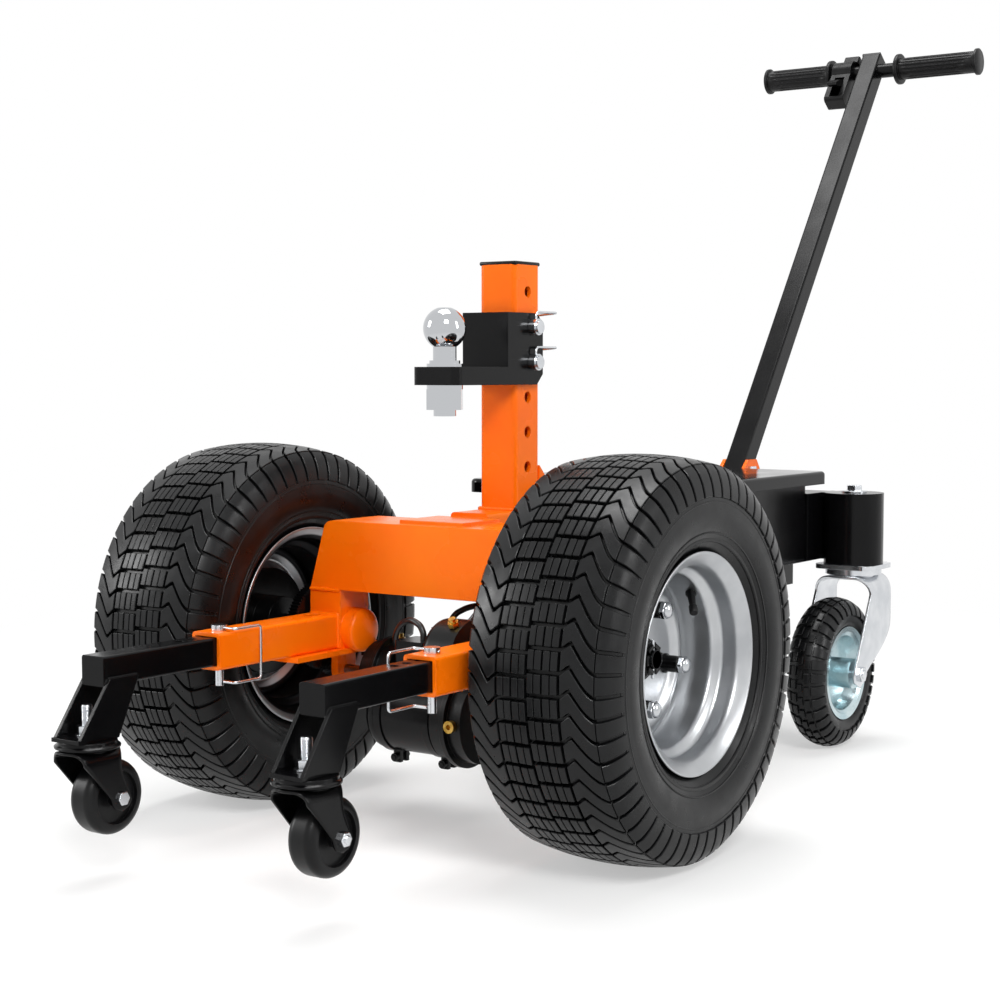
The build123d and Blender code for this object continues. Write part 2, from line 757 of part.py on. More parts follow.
def rear_chassis():
    half = rail_size / 2
    frame = rail() + to_left(rail())
    saddle = block(-saddle_half_width, saddle_half_width, saddle_front, spine_rear, rail_top, spine_bottom)
    for y in saddle_bolt_places:
        saddle -= rod_z(bolt_radius + hole_gap, rail_top - 1, spine_bottom + 1, 0, y)
    frame += saddle
    frame += block(-rail_x + half, rail_x - half, saddle_front, saddle_front + 5, rail_bottom, rail_top)
    tray = block(-box_half_width, box_half_width, box_front, box_rear, rail_top, rail_top + tray_thickness)
    frame += tray
    cross = block(-box_half_width, box_half_width, cross_front, cross_rear, rail_top, cross_top)
    cross = fillet(cross.edges().filter_by(Axis.X), 6)
    cross -= block(-box_half_width - 1, box_half_width + 1, cross_front + 4, cross_rear - 4, rail_top + 4,
                   cross_top - 4)
    frame += cross
    end_plate = block(box_half_width - 4, box_half_width, cross_front, cross_rear, rail_top, cross_top)
    tube = rod_z(caster_tube_radius, cross_bottom, cross_top, caster_tube_x, caster_tube_y)
    side = end_plate + tube
    for z0 in (rail_top, cross_top - 6):
        side += block(box_half_width - 2, caster_tube_x, caster_tube_y - 20, caster_tube_y + 20, z0, z0 + 6)
    side -= rod_z(caster_tube_radius - caster_tube_wall, cross_bottom + 8, cross_top - 5,
                  caster_tube_x, caster_tube_y)
    side -= rod_z(king_bolt_radius + hole_gap, cross_bottom - 1, cross_top + 1, caster_tube_x, caster_tube_y)
    return frame + side + to_left(side)


king_bolt_radius = 6.0
parts["rear_chassis"] = rear_chassis()


# Battery box, lid, batteries, controller
box_bottom = rail_top + tray_thickness
hinge_x = -box_half_width - 8.0
hinge_z = box_top - 8.0
knuckle_radius = 4.0
hinge_places = [box_front + 24, box_rear - 60]
latch_y = 430.0
latch_x = lid_half_width - 7.5
latch_z = box_top - 4.0


def battery_box():
    box = block(-box_half_width, box_half_width, box_front, box_rear, box_bottom, box_top)
    box = fillet(box.edges().filter_by(Axis.Z), 8)
    box -= block(box_wall - box_half_width, box_half_width - box_wall, box_front + box_wall, box_rear - box_wall,
                 box_bottom + box_wall, box_top + 1)
    for y in hinge_places:
        leaf = block(-box_half_width - 3, -box_half_width, y, y + 40, hinge_z - 22, hinge_z + 4)
        knuckle = rod_y(knuckle_radius, y + 10.3, y + 29.7, hinge_x, hinge_z)
        link = block(hinge_x, -box_half_width, y + 10.3, y + 29.7, hinge_z - 4, hinge_z)
        knuckle = knuckle + link - rod_y(2 + running_fit, y, y + 40, hinge_x, hinge_z)
        box += leaf + knuckle
    box -= rod_y(11, box_front - 1, box_front + box_wall + 1, socket_x, socket_z)
    catch = block(box_half_width, box_half_width + 5, latch_y - 12, latch_y + 12, box_top - 42, box_top - 32)
    box += catch
    for x in (-gland_x, gland_x):
        box -= rod_y(cable_radius + running_fit, box_front - 1, box_front + box_wall + 1, x, gland_z)
    return box


socket_x = 80.0
socket_z = 300.0
gland_x = 66.0
gland_z = 268.0
cable_radius = 3.5
parts["battery_box"] = battery_box()


def box_lid():
    z0 = box_top + side_gap
    z1 = z0 + lid_height
    lid = block(-lid_half_width, lid_half_width, lid_front, lid_rear, z0, z1)
    lid = fillet(lid.edges().filter_by(Axis.Z), lid_corner)
    lid = fillet(lid.edges().group_by(Axis.Z)[-1], lid_edge)
    rim_inset = box_half_width - lid_rim_cover
    lid -= block(-rim_inset, rim_inset, box_front + lid_rim_cover, box_rear - lid_rim_cover, z0 - 1, z1 - 3)
    for y in hinge_places:
        for y0 in (y, y + 30.3):
            arm = block(hinge_x - knuckle_radius, hinge_x + knuckle_radius, y0, y0 + 9.7, hinge_z, z0 + 6)
            knuckle = rod_y(knuckle_radius, y0, y0 + 9.7, hinge_x, hinge_z)
            lid += arm + knuckle
        lid -= rod_y(2 + running_fit, y - 1, y + 41, hinge_x, hinge_z)
    pins = [rod_y(2, y, y + 40, hinge_x, hinge_z) for y in hinge_places]
    for y0 in (latch_y - 15, latch_y + 11.3):
        lid += block(latch_x - 3, latch_x + 3, y0, y0 + 3.7, latch_z - 3, z0 + 3)
    lid -= rod_y(1.5 + running_fit, latch_y - 16, latch_y + 16, latch_x, latch_z)
    pins.append(rod_y(1.5, latch_y - 15, latch_y + 15, latch_x, latch_z))
    return solids(lid, *pins)


parts["box_lid"] = box_lid()


def lid_latch():
    """A latch that hangs from the lid's edge and closes beside the catch."""
    plate = block(latch_x - 1.5, latch_x + 1.5, latch_y - 11, latch_y + 11, latch_z - 44, latch_z)
    barrel = rod_y(3, latch_y - 11, latch_y + 11, latch_x, latch_z)
    hook = block(box_half_width + 5 + side_gap, latch_x + 1.5, latch_y - 11, latch_y + 11, latch_z - 44, latch_z - 39)
    body = plate + barrel + hook
    return body - rod_y(1.5 + running_fit, latch_y - 12, latch_y + 12, latch_x, latch_z)


parts["lid_latch"] = lid_latch()


def batteries():
    packs = []
    floor = box_bottom + box_wall
    for y0 in (box_front + 30, box_front + 134):
        for x0 in (-112, 6):
            body = block(x0, x0 + 106, y0, y0 + 98, floor, floor + 90)
            body = fillet(body.edges().filter_by(Axis.Z), 3)
            for x in (x0 + 18, x0 + 88):
                body += block(x - 4, x + 4, y0 + 10, y0 + 16, floor + 90, floor + 95)
            packs.append(body)
    return solids(*packs)


parts["batteries"] = batteries()


def controller():
    floor = box_bottom + box_wall
    y0 = box_front + 256
    body = block(-70, 70, y0, y0 + 80, floor, floor + 14)
    for i in range(11):
        x = -66 + i * 13
        body += block(x, x + 3, y0 + 4, y0 + 76, floor + 14, floor + 40)
    return body


parts["controller"] = controller()


def charge_socket():
    body = rod_y(11 - side_gap, box_front - 2, box_front + 18, socket_x, socket_z)
    body += rod_y(14, box_front - 6, box_front - 0.2, socket_x, socket_z)
    body -= rod_y(7, box_front - 7, box_front + 8, socket_x, socket_z)
    pins = [rod_y(1.4, box_front - 3, box_front + 8, socket_x + dx, socket_z) for dx in (-3.2, 3.2)]
    return body + pins[0] + pins[1]


parts["charge_socket"] = charge_socket()


# Drive units: each wheel has its own motor, gear train and case
def gear_outline(teeth):
    pitch = gear_module * teeth / 2
    base = pitch * math.cos(math.radians(pressure_angle))
    tip = pitch + 0.95 * gear_module
    root = pitch - 1.2 * gear_module
    angle = math.radians(pressure_angle)
    spread = math.pi / 2 / teeth - backlash / 2 / pitch + math.tan(angle) - angle
    start = max(base, root)
    flank = []
    for i in range(4):
        r = start + (tip - start) * i / 3
        at = math.acos(min(1.0, base / r))
        flank.append((r, spread - (math.tan(at) - at)))
    foot = [(root, flank[0][1])] if start > root + 0.01 else []
    points = []
    for k in range(teeth):
        middle = 2 * math.pi * k / teeth
        left = [(r, -a) for r, a in foot + flank]
        right = [(r, a) for r, a in reversed(foot + flank)]
        for r, a in left + right:
            points.append((r * math.cos(middle + a), r * math.sin(middle + a)))
    return points


def gear(teeth, x0, x1, y, z, turn):
    outline = make_face(Polyline(gear_outline(teeth), close=True))
    return extrude(side_plane(x0) * Pos(y, z) * Rot(0, 0, turn) * outline, x1 - x0)


def towards(y0, z0, y1, z1):
    return math.degrees(math.atan2(z1 - z0, y1 - y0))


first_x0 = 67.0
first_x1 = first_x0 + gear_width - 2
last_line = towards(0, axle_height, counter_y, counter_z)
first_line = towards(counter_y, counter_z, motor_y, motor_z)


def countershaft():
    small_turn = last_line + 180 + 180 / pinion_teeth
    big = gear(first_gear_teeth, first_x0, first_x1, counter_y, counter_z, first_line)
    small = gear(pinion_teeth, last_x0 - 1, last_x1 + 1, counter_y, counter_z, small_turn)
    shaft = rod_x(counter_shaft_radius, motor_flange + 2, last_x1 + 1, counter_y, counter_z)
    return big + small + shaft


def motor_rotor():
    turn = first_line + 180 + 180 / pinion_teeth
    pinion = gear(pinion_teeth, first_x0 - 1, first_x1 + 1, motor_y, motor_z, turn)
    shaft = rod_x(5.5, motor_left + 2, first_x1 + 4, motor_y, motor_z)
    core = rod_x(30, motor_left + 26, motor_flange - 14, motor_y, motor_z)
    for i in range(12):
        angle = math.radians(30 * i)
        y = motor_y + 30 * math.cos(angle)
        z = motor_z + 30 * math.sin(angle)
        core -= rod_x(2.5, motor_left + 25, motor_flange - 13, y, z)
    drum = rod_x(16, motor_left + 12, motor_left + 22, motor_y, motor_z)
    return shaft + core + drum + pinion


parts["right_hub"] = solids(hub(right_x), half_shaft(right_x))
parts["left_hub"] = to_other_side(parts["right_hub"])
parts["right_countershaft"] = countershaft()
parts["left_countershaft"] = to_other_side(countershaft())
parts["right_motor_rotor"] = motor_rotor()
parts["left_motor_rotor"] = to_other_side(motor_rotor())

case_wall = 5.0
case_flange = 6.0
first_case_radius = gear_module * (first_gear_teeth / 2 + 1) + 3.0
motor_case_radius = motor_radius - 2
chamber_radius = 42.0
chamber_y = -45.0
chamber_z = 197.0
chamber_left = 38.0
band_thickness = 1.6
band_width = 9.0
lug_y = -50.0
drain_x = case_split + 10.0
drain_z = motor_z
vent_x = 70.0
vent_tilt = 28.0


def case_half(x0, x1, circles, close_left):
    outer = hull_x([(y, z, r + case_wall) for y, z, r in circles], x0, x1)
    inner_x0 = x0 + case_wall if close_left else x0 - 1
    inner_x1 = x1 + 1 if close_left else x1 - case_wall
    return outer - hull_x(circles, inner_x0, inner_x1)


def oil_chamber():
    """A round chamber on top of the case that keeps the oil clear of the vent."""
    outer = rod_x(chamber_radius, chamber_left, case_split, chamber_y, chamber_z)
    outer = fillet(outer.edges().sort_by(Axis.X)[0], 10)
    inner = rod_x(chamber_radius - case_wall, chamber_left + case_wall, case_split - case_wall,
                  chamber_y, chamber_z)
    clear_radius = motor_radius + band_thickness + side_gap
    inner -= rod_x(clear_radius + case_wall, chamber_left - 1, motor_flange, motor_y, motor_z)
    return outer - inner - rod_x(clear_radius, chamber_left - 1, motor_flange, motor_y, motor_z)


def gear_case(with_chamber):
    circles = [(motor_y, motor_z, motor_case_radius), (counter_y, counter_z, first_case_radius)]
    flange = hull_x([(y, z, r + case_wall + case_flange) for y, z, r in circles], case_split - 3, case_split)
    left = case_half(motor_flange, case_split, circles, True)
    left += flange - hull_x(circles, case_split - 4, case_split + 1)
    if with_chamber:
        left += oil_chamber() - hull_x(circles, motor_flange + case_wall, case_split + 1)
        left -= rod_z(4, chamber_z - 30, chamber_z, vent_x, chamber_y + 12)
        vent_hole = Pos(0, chamber_y, chamber_z) * Rot(vent_tilt, 0, 0) * rod_z(4, 20, chamber_radius + 10, vent_x, 0)
    else:
        vent_hole = rod_z(4, counter_z, counter_z + 80, vent_x, counter_y)
    left -= vent_hole
    left -= rod_x(counter_shaft_radius + running_fit, motor_flange + 1, case_split, counter_y, counter_z)
    left -= rod_x(5.5 + running_fit, motor_flange - 1, case_split, motor_y, motor_z)
    right = case_half(case_split, case_right, circles, False)
    right += Pos(3, 0, 0) * flange - hull_x(circles, case_split - 1, case_split + 4)
    foot = sleeve_bottom - base_plate_thickness
    right += block(case_right - 2, base_plate_inner + 24, lug_y - 16, lug_y + 16, foot - 10, foot)
    right -= rod_x(counter_shaft_radius + running_fit, case_right - case_wall - 1, case_right + 1,
                   counter_y, counter_z)
    right -= rod_y(4.5, motor_y - 60, motor_y, drain_x, drain_z)
    return solids(left, right)


parts["right_gear_case"] = gear_case(True)
parts["left_gear_case"] = to_other_side(gear_case(False))


def motor_housing():
    shell = rod_x(motor_radius, motor_left + 14, motor_flange, motor_y, motor_z)
    bell = rod_x(motor_radius - 1, motor_left, motor_left + 14, motor_y, motor_z)
    bell = fillet(bell.edges().sort_by(Axis.X)[0], 10)
    body = shell + bell
    body -= rod_x(motor_radius - 5, motor_left + 5, motor_flange - 4, motor_y, motor_z)
    body -= rod_x(5.5 + running_fit, motor_left + 1, motor_flange + 1, motor_y, motor_z)
    magnets = []
    ring = rod_x(motor_radius - 5 - side_gap, motor_left + 28, motor_flange - 16, motor_y, motor_z)
    ring -= rod_x(31.5, motor_left + 20, motor_flange, motor_y, motor_z)
    for sign in (-1, 1):
        window = block(motor_left, motor_flange, motor_y - 60, motor_y + 60, motor_z + sign * 40 - 24,
                       motor_z + sign * 40 + 24)
        magnets.append(ring & window)
    box = block(-6, 34, motor_y - 20, motor_y + 20, motor_z + motor_radius - 2.8, terminal_top)
    box = fillet(box.edges().filter_by(Axis.Z), 4)
    box -= rod_x(motor_radius + band_thickness + side_gap, -10, 50, motor_y, motor_z)
    return solids(body, *magnets, box)


terminal_top = 214.0


def motor_bands():
    bands = []
    for x0 in (motor_left + 16, motor_flange - 12):
        band = rod_x(motor_radius + band_thickness, x0, x0 + band_width, motor_y, motor_z)
        band -= rod_x(motor_radius, x0 - 1, x0 + band_width + 1, motor_y, motor_z)
        low = motor_z - motor_radius
        ears = block(x0, x0 + band_width, motor_y - 8, motor_y + 8, low - 13, low + 1)
        ears -= block(x0 - 1, x0 + band_width + 1, motor_y - 3, motor_y + 3, low - 14, low - 1.6)
        band += ears
        band -= rod_x(motor_radius, x0 - 1, x0 + band_width + 1, motor_y, motor_z)
        screw = rod_y(2.5, motor_y - 14, motor_y + 12, x0 + band_width / 2, low - 7)
        band -= rod_y(2.5 + running_fit, motor_y - 15, motor_y + 15, x0 + band_width / 2, low - 7)
        head = rod_y(4.5, motor_y - 13, motor_y - 8, x0 + band_width / 2, low - 7)
        bands += [band, screw + head]
    return solids(*bands)


parts["motor_housings"] = solids(motor_housing(), to_other_side(motor_housing()))
parts["motor_bands"] = solids(motor_bands(), to_other_side(motor_bands()))


def drain_plug():
    front = motor_y - motor_case_radius - case_wall - side_gap
    drain = rod_y(4.5 - running_fit, front, front + case_wall, drain_x, drain_z)
    drain += rod_y(6.5, front - 6, front, drain_x, drain_z)
    return drain - rod_y(2.8, front - 7, front - 2, drain_x, drain_z)


def vent_plug():
    """Breather plug, standing on the origin."""
    return rod_z(4 - running_fit, -4, 0.8) + hexagon_z(11, 0.8, 5.8) + rod_z(4, 5.8, 10)


chamber_vent = Pos(vent_x, chamber_y, chamber_z) * Rot(vent_tilt, 0, 0) * Pos(0, 0, chamber_radius) * vent_plug()
case_vent = Pos(vent_x, counter_y, counter_z + first_case_radius + case_wall) * vent_plug()


# Bearings
def ring_x(outer, inner, x0, x1, y, z):
    return rod_x(outer, x0, x1, y, z) - rod_x(inner, x0 - 1, x1 + 1, y, z)


def axle_bearings():
    bore = shaft_radius + running_fit
    inner = ring_x(bearing_radius - running_fit, bore, boss_face, boss_face + bearing_width, 0, axle_height)
    outer = ring_x(shaft_radius + 3 - running_fit, bore, beam_half_bottom - 12, beam_half_bottom, 0, axle_height)
    return solids(inner, outer, to_left(inner), to_left(outer))


parts["axle_bearings"] = axle_bearings()


# Handle bracket, handle, bar, grips and controls
lug_thickness = 5.0
lug_inner = handle_size / 2 + side_gap


def handle_bracket():
    outline = [(handle_pivot_y - 16, cross_top), (handle_pivot_y + 30, cross_top),
               (handle_pivot_y + 30, handle_pivot_z + 4), (handle_pivot_y + 20, handle_pivot_z + 17),
               (handle_pivot_y - 4, handle_pivot_z + 17), (handle_pivot_y - 16, handle_pivot_z + 6)]
    lug = plate_x(outline, lug_inner, lug_inner + lug_thickness)
    lug -= rod_x(5 + running_fit, lug_inner - 1, lug_inner + lug_thickness + 1, handle_pivot_y, handle_pivot_z)
    foot = block(lug_inner + lug_thickness, lug_inner + lug_thickness + 20, handle_pivot_y - 16,
                 handle_pivot_y + 30, cross_top, cross_top + 5)
    foot -= rod_z(4 + hole_gap, cross_top - 1, cross_top + 6, lug_inner + lug_thickness + 11, handle_pivot_y + 8)
    side = lug + foot
    tie = block(-lug_inner, lug_inner, handle_pivot_y + 24, handle_pivot_y + 30, cross_top, cross_top + 12)
    return side + to_left(side) + tie


parts["handle_bracket"] = handle_bracket()


def lean(shape):
    """Turns what is built upright above the pivot back to the handle's angle."""
    return Pos(0, handle_pivot_y, handle_pivot_z) * Rot(-handle_lean, 0, 0) * shape


handle_foot = 14.0
bar_height = handle_length - handle_foot - bar_below_top


def handle_tube():
    half = handle_size / 2
    tube = block(-half, half, -half, half, -handle_foot, handle_length - handle_foot)
    tube = fillet(tube.edges().filter_by(Axis.Z), 3)
    tube -= block(handle_wall - half, half - handle_wall, handle_wall - half, half - handle_wall, -handle_foot - 1,
                  handle_length + 1)
    tube -= rod_x(5 + running_fit, -half - 1, half + 1, 0, 0)
    tube -= rod_x(bar_radius + running_fit, -half - 1, half + 1, 0, bar_height)
    top = handle_length - handle_foot
    plug = half - handle_wall - side_gap
    cap = block(-half, half, -half, half, top, top + 4) + block(-plug, plug, -plug, plug, top - 7, top)
    return solids(lean(tube), lean(cap))


def handlebar():
    bar = rod_x(bar_radius, -bar_half_length, bar_half_length, 0, bar_height)
    bar -= rod_x(bar_radius - 2, -bar_half_length - 1, bar_half_length + 1, 0, bar_height)
    return lean(bar)


def grip(x0, x1, inner_end):
    z = bar_height
    body = rod_x(grip_radius, x0, x1, 0, z)
    flange = rod_x(23.5, inner_end - 3, inner_end + 3, 0, z)
    body += flange
    bar_end = bar_half_length
    body -= rod_x(bar_radius + side_gap, -bar_end - side_gap, bar_end + side_gap, 0, z)
    cap = rod_x(20, bar_end + side_gap, bar_end + 6, 0, z)
    if x1 < 0:
        cap = to_left(cap)
    return lean(body + cap)


right_grip = grip(bar_half_length - right_grip_length, bar_half_length + side_gap, bar_half_length - right_grip_length + 3)
left_grip = grip(-bar_half_length - side_gap, left_grip_length - bar_half_length, left_grip_length - bar_half_length - 3)
parts["handle"] = solids(handle_tube(), handlebar())
parts["handle_grips"] = solids(right_grip, left_grip)

throttle_x0 = -58.0
throttle_x1 = -26.0
rocker_radius = 6.3
rocker_y = -2.0
rocker_z = bar_height + 22.2
lever_pivot_y = -8.0
lever_pivot_z = bar_height - 26.0


def throttle_housing():
    z = bar_height
    body = rod_x(19, throttle_x0, throttle_x1, 0, z)
    body += block(throttle_x0, throttle_x1, -14, 14, z - 64, z)
    body = fillet(body.edges().filter_by(Axis.X).sort_by(Axis.Z)[:2], 6)
    switch_top = block(throttle_x0 + 12, throttle_x1 + 6, -13, 9, z + 12, z + 24)
    body += fillet(switch_top.edges().filter_by(Axis.Z), 3)
    body -= rod_x(bar_radius + running_fit, throttle_x0 - 1, throttle_x1 + 8, 0, z)
    body -= block(throttle_x0 + 15, throttle_x1 + 3, -9, 5, z + 15.5, z + 25)
    slot = block(throttle_x0 + 8, throttle_x1 - 8, -15, 5, z - 58.5, z - 19.5)
    body -= slot
    body -= rod_x(2.1 + running_fit, throttle_x0 + 3, throttle_x1 - 3, lever_pivot_y, lever_pivot_z)
    body -= rod_x(1.5 + running_fit, throttle_x0 + 12.5, throttle_x1 + 5.5, rocker_y, rocker_z)
    return lean(body)


def throttle_lever():
    x0 = throttle_x0 + 8.3
    x1 = throttle_x1 - 8.3
    outline = [(lever_pivot_y - 3.5, lever_pivot_z + 3.5), (lever_pivot_y + 3.5, lever_pivot_z + 3.5),
               (lever_pivot_y + 3.5, lever_pivot_z - 3.5), (lever_pivot_y - 14, lever_pivot_z - 20),
               (lever_pivot_y - 22, lever_pivot_z - 24), (lever_pivot_y - 24, lever_pivot_z - 20),
               (lever_pivot_y - 16, lever_pivot_z - 8)]
    blade = plate_x(outline, x0, x1)
    pin = rod_x(2.1, throttle_x0 + 3.3, throttle_x1 - 3.3, lever_pivot_y, lever_pivot_z)
    return lean(blade + pin)


def direction_switch():
    """A rocker that tips about the middle of its round body."""
    x0 = throttle_x0 + 15.4
    x1 = throttle_x1 + 2.6
    rocker = rod_x(rocker_radius, x0, x1, rocker_y, rocker_z)
    rocker -= block(x0 - 1, x1 + 1, -20, 20, rocker_z + 3.5, rocker_z + 20)
    pin = rod_x(1.5, x0 - 2.4, x1 + 2.4, rocker_y, rocker_z)
    return lean(rocker + pin)


parts["throttle_housing"] = throttle_housing()
parts["throttle_lever"] = throttle_lever()
parts["direction_switch"] = direction_switch()


# Rear casters
plate_bottom = rear_plate_top - 6.0
rear_race_bottom = plate_bottom - 12.0


def rear_caster_plate():
    x = caster_tube_x
    y = caster_tube_y
    plate = block(x - 42, x + 42, y - 42, y + 42, plate_bottom, rear_plate_top)
    plate = fillet(plate.edges().filter_by(Axis.Z), 16)
    race = rod_z(38, rear_race_bottom + 4, plate_bottom, x, y) + rod_z(28, rear_race_bottom, rear_race_bottom + 4, x, y)
    body = plate + race
    body -= rod_z(king_bolt_radius + running_fit, rear_race_bottom - 1, rear_plate_top + 1, x, y)
    return body


parts["rear_caster_plates"] = solids(rear_caster_plate(), to_left(rear_caster_plate()))
rear_axle_y = caster_tube_y - rear_trail
rear_fork_gap = 34.0
rear_fork_wall = 4.0
rear_fork_top = rear_race_bottom - side_gap


def rear_fork():
    x = caster_tube_x
    y = caster_tube_y
    crown = rod_z(40, rear_fork_top - 5, rear_fork_top, x, y)
    crown -= rod_z(14, rear_fork_top - 6, rear_fork_top + 1, x, y)
    outline = [(y - 36, rear_fork_top), (y + 34, rear_fork_top), (y + 36, rear_fork_top - 18),
               (rear_axle_y + 22, rear_wheel_radius - 8), (rear_axle_y + 12, rear_wheel_radius - 20),
               (rear_axle_y - 12, rear_wheel_radius - 20), (rear_axle_y - 20, rear_wheel_radius - 2),
               (rear_axle_y - 18, rear_wheel_radius + 20)]
    cheek = plate_x(outline, x + rear_fork_gap, x + rear_fork_gap + rear_fork_wall)
    other = plate_x(outline, x - rear_fork_gap - rear_fork_wall, x - rear_fork_gap)
    fork = crown + cheek + other
    fork -= rod_x(6 + running_fit, x - 60, x + 60, rear_axle_y, rear_wheel_radius)
    end = rear_fork_gap + rear_fork_wall
    bolt = rod_x(6, x - end, x + end + 11, rear_axle_y, rear_wheel_radius)
    bolt += hexagon_x(19, x - end - 8, x - end, rear_axle_y, rear_wheel_radius)
    nut = hexagon_x(19, x + end, x + end + 9, rear_axle_y, rear_wheel_radius)
    nut -= rod_x(6 + running_fit, x, x + 80, rear_axle_y, rear_wheel_radius)
    return solids(fork, bolt, nut)


rear_rim_radius = 58.0


def rear_rim():
    x = caster_tube_x
    half = rear_wheel_width / 2
    y = rear_axle_y
    z = rear_wheel_radius
    profile = [(-half + 4, rear_rim_radius + 4), (-half + 8, rear_rim_radius + 4), (-half + 9, rear_rim_radius - 4),
               (half - 9, rear_rim_radius - 4), (half - 8, rear_rim_radius + 4), (half - 4, rear_rim_radius + 4),
               (half - 5, rear_rim_radius - 3), (half - 8, rear_rim_radius - 8), (2.5, rear_rim_radius - 14),
               (2.5, 18), (-2.5, 18), (-2.5, rear_rim_radius - 14), (-half + 8, rear_rim_radius - 8),
               (-half + 5, rear_rim_radius - 3)]
    dish = Pos(x, y, z) * revolve(make_face(Polyline(profile, close=True)), Axis.X, 360)
    barrel = rod_x(20, x - rear_fork_gap + 1, x + rear_fork_gap - 1, y, z)
    body = dish + barrel
    return body - rod_x(6 + running_fit, x - 60, x + 60, y, z)


def rear_tyre():
    half = rear_wheel_width / 2
    r = rear_wheel_radius
    foot = rear_rim_radius - 4 + side_gap
    lip = rear_rim_radius + 4
    right = [(half - 2, lip + 3), (half - 4, lip + 0.5), (half - 9.5, lip + 0.5), (half - 9.5, foot),
             (half - 13, foot), (half - 10, r - 22)]
    left = [(-x, z) for x, z in reversed(right)]
    edges = [
        ThreePointArc((-half + 7, r - 7), (0, r), (half - 7, r - 7)),
        ThreePointArc((half - 7, r - 7), (half, r - 20), right[0]),
        Polyline(right),
        ThreePointArc(right[-1], (0, r - 10), left[0]),
        Polyline(left),
        ThreePointArc(left[-1], (-half, r - 20), (-half + 7, r - 7)),
    ]
    body = revolve(make_face(edges), Axis.X, 360)
    return Pos(caster_tube_x, rear_axle_y, rear_wheel_radius) * body


parts["right_rear_fork"] = rear_fork()
parts["left_rear_fork"] = to_left(rear_fork())
parts["right_rear_rim"] = rear_rim()
parts["left_rear_rim"] = to_left(rear_rim())
parts["right_rear_tyre"] = rear_tyre()
parts["left_rear_tyre"] = to_left(rear_tyre())


# Zinc fasteners of the frame
def frame_bolts():
    pieces = []
    for y in saddle_bolt_places:
        inside = spine_bottom + plate_wall
        shank = rod_z(bolt_radius, rail_top, inside + 10, 0, y)
        pieces.append(shank + hexagon_z(16, rail_top - 6, rail_top, 0, y) + hexagon_z(16, inside, inside + 8, 0, y))
    for x in (-caster_tube_x, caster_tube_x):
        y = caster_tube_y
        king = rod_z(king_bolt_radius, rear_race_bottom + 0.5, cross_top + 2.5, x, y)
        king += hexagon_z(19, cross_top + 2.5, cross_top + 10, x, y) + rod_z(17, cross_top, cross_top + 2.5, x, y)
        pieces.append(king)
    pivot = rod_x(5, -lug_inner - lug_thickness, lug_inner + lug_thickness, handle_pivot_y, handle_pivot_z)
    for x0 in (-lug_inner - lug_thickness - 7, lug_inner + lug_thickness):
        pivot += hexagon_x(16, x0, x0 + 7, handle_pivot_y, handle_pivot_z)
    pieces.append(pivot)
    for sign in (-1, 1):
        x = sign * (lug_inner + lug_thickness + 11)
        foot_bolt = rod_z(4, cross_top, cross_top + 5, x, handle_pivot_y + 8)
        foot_bolt += hexagon_z(13, cross_top + 5, cross_top + 10, x, handle_pivot_y + 8)
        pieces.append(foot_bolt)
    return solids(*pieces)


parts["frame_bolts"] = frame_bolts()
parts["oil_plugs"] = solids(drain_plug(), chamber_vent, to_other_side(drain_plug()), to_other_side(case_vent))


# Motor cables from the terminal boxes to the battery box
right_cable_points = [
    (19, motor_y, terminal_top), (19, motor_y, 221), (14, -50, 229), (0, -47, 234), (-17, -42, 229),
    (-32, -34, 215), (-43, -20, 200), (-49, 2, 190), (-50, 28, 187), (-48, 54, 188), (-42, 78, 194),
    (-35, 100, 206), (-32.5, 124, 223), (-33.5, 148, 241), (-37, 172, 256), (-46, 198, 265),
    (-57, 224, 269), (-gland_x, 250, gland_z), (-gland_x, box_front + 4, gland_z),
]
left_cable_points = [
    (-19, -motor_y, terminal_top), (-19, -motor_y, 221), (-15, 55, 229), (-4, 64, 236), (10, 78, 238),
    (23, 97, 239), (32, 118, 244), (36, 140, 254), (42, 164, 263), (51, 190, 268), (60, 218, 269.5),
    (gland_x, 248, gland_z), (gland_x, box_front + 4, gland_z),
]


def cable_radii(points):
    radii = []
    for before, here, after in zip(points, points[1:], points[2:]):
        first = Vector(*here) - Vector(*before)
        second = Vector(*after) - Vector(*here)
        turn = math.radians(first.get_angle(second))
        shorter = min(first.length, second.length)
        radii.append(0.45 * shorter / math.tan(turn / 2))
    return radii


def motor_cable(points):
    radii = cable_radii(points)
    print("cable radii", [round(r, 1) for r in radii])
    path = FilletPolyline(*points, radius=radii)
    start = Plane(path @ 0, z_dir=path % 0)
    tube = sweep(start * Circle(cable_radius), path=path)
    share = tube.volume / (math.pi * cable_radius ** 2 * path.length)
    print("cable length", round(path.length, 1), "volume share", round(share, 4))
    return tube


parts["motor_cables"] = solids(motor_cable(right_cable_points), motor_cable(left_cable_points))


# The origin is the middle of the footprint, on the ground
everything = Compound(children=[copy_of for shape in parts.values() for copy_of in shape.solids()])
extent = everything.bounding_box()
middle_x = (extent.min.X + extent.max.X) / 2
middle_y = (extent.min.Y + extent.max.Y) / 2
print("moved by", -middle_x, -middle_y, "lowest", extent.min.Z, "size", extent.size)
os.makedirs("parts", exist_ok=True)
for name, shape in parts.items():
    moved = Pos(-middle_x, -middle_y, 0) * shape
    found = list(moved.solids())
    export_step(found[0] if len(found) == 1 else Compound(children=found), f"parts/{name}.step")
print("parts", len(parts))
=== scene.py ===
import json
import math
import bpy
from mathutils import Vector, Matrix


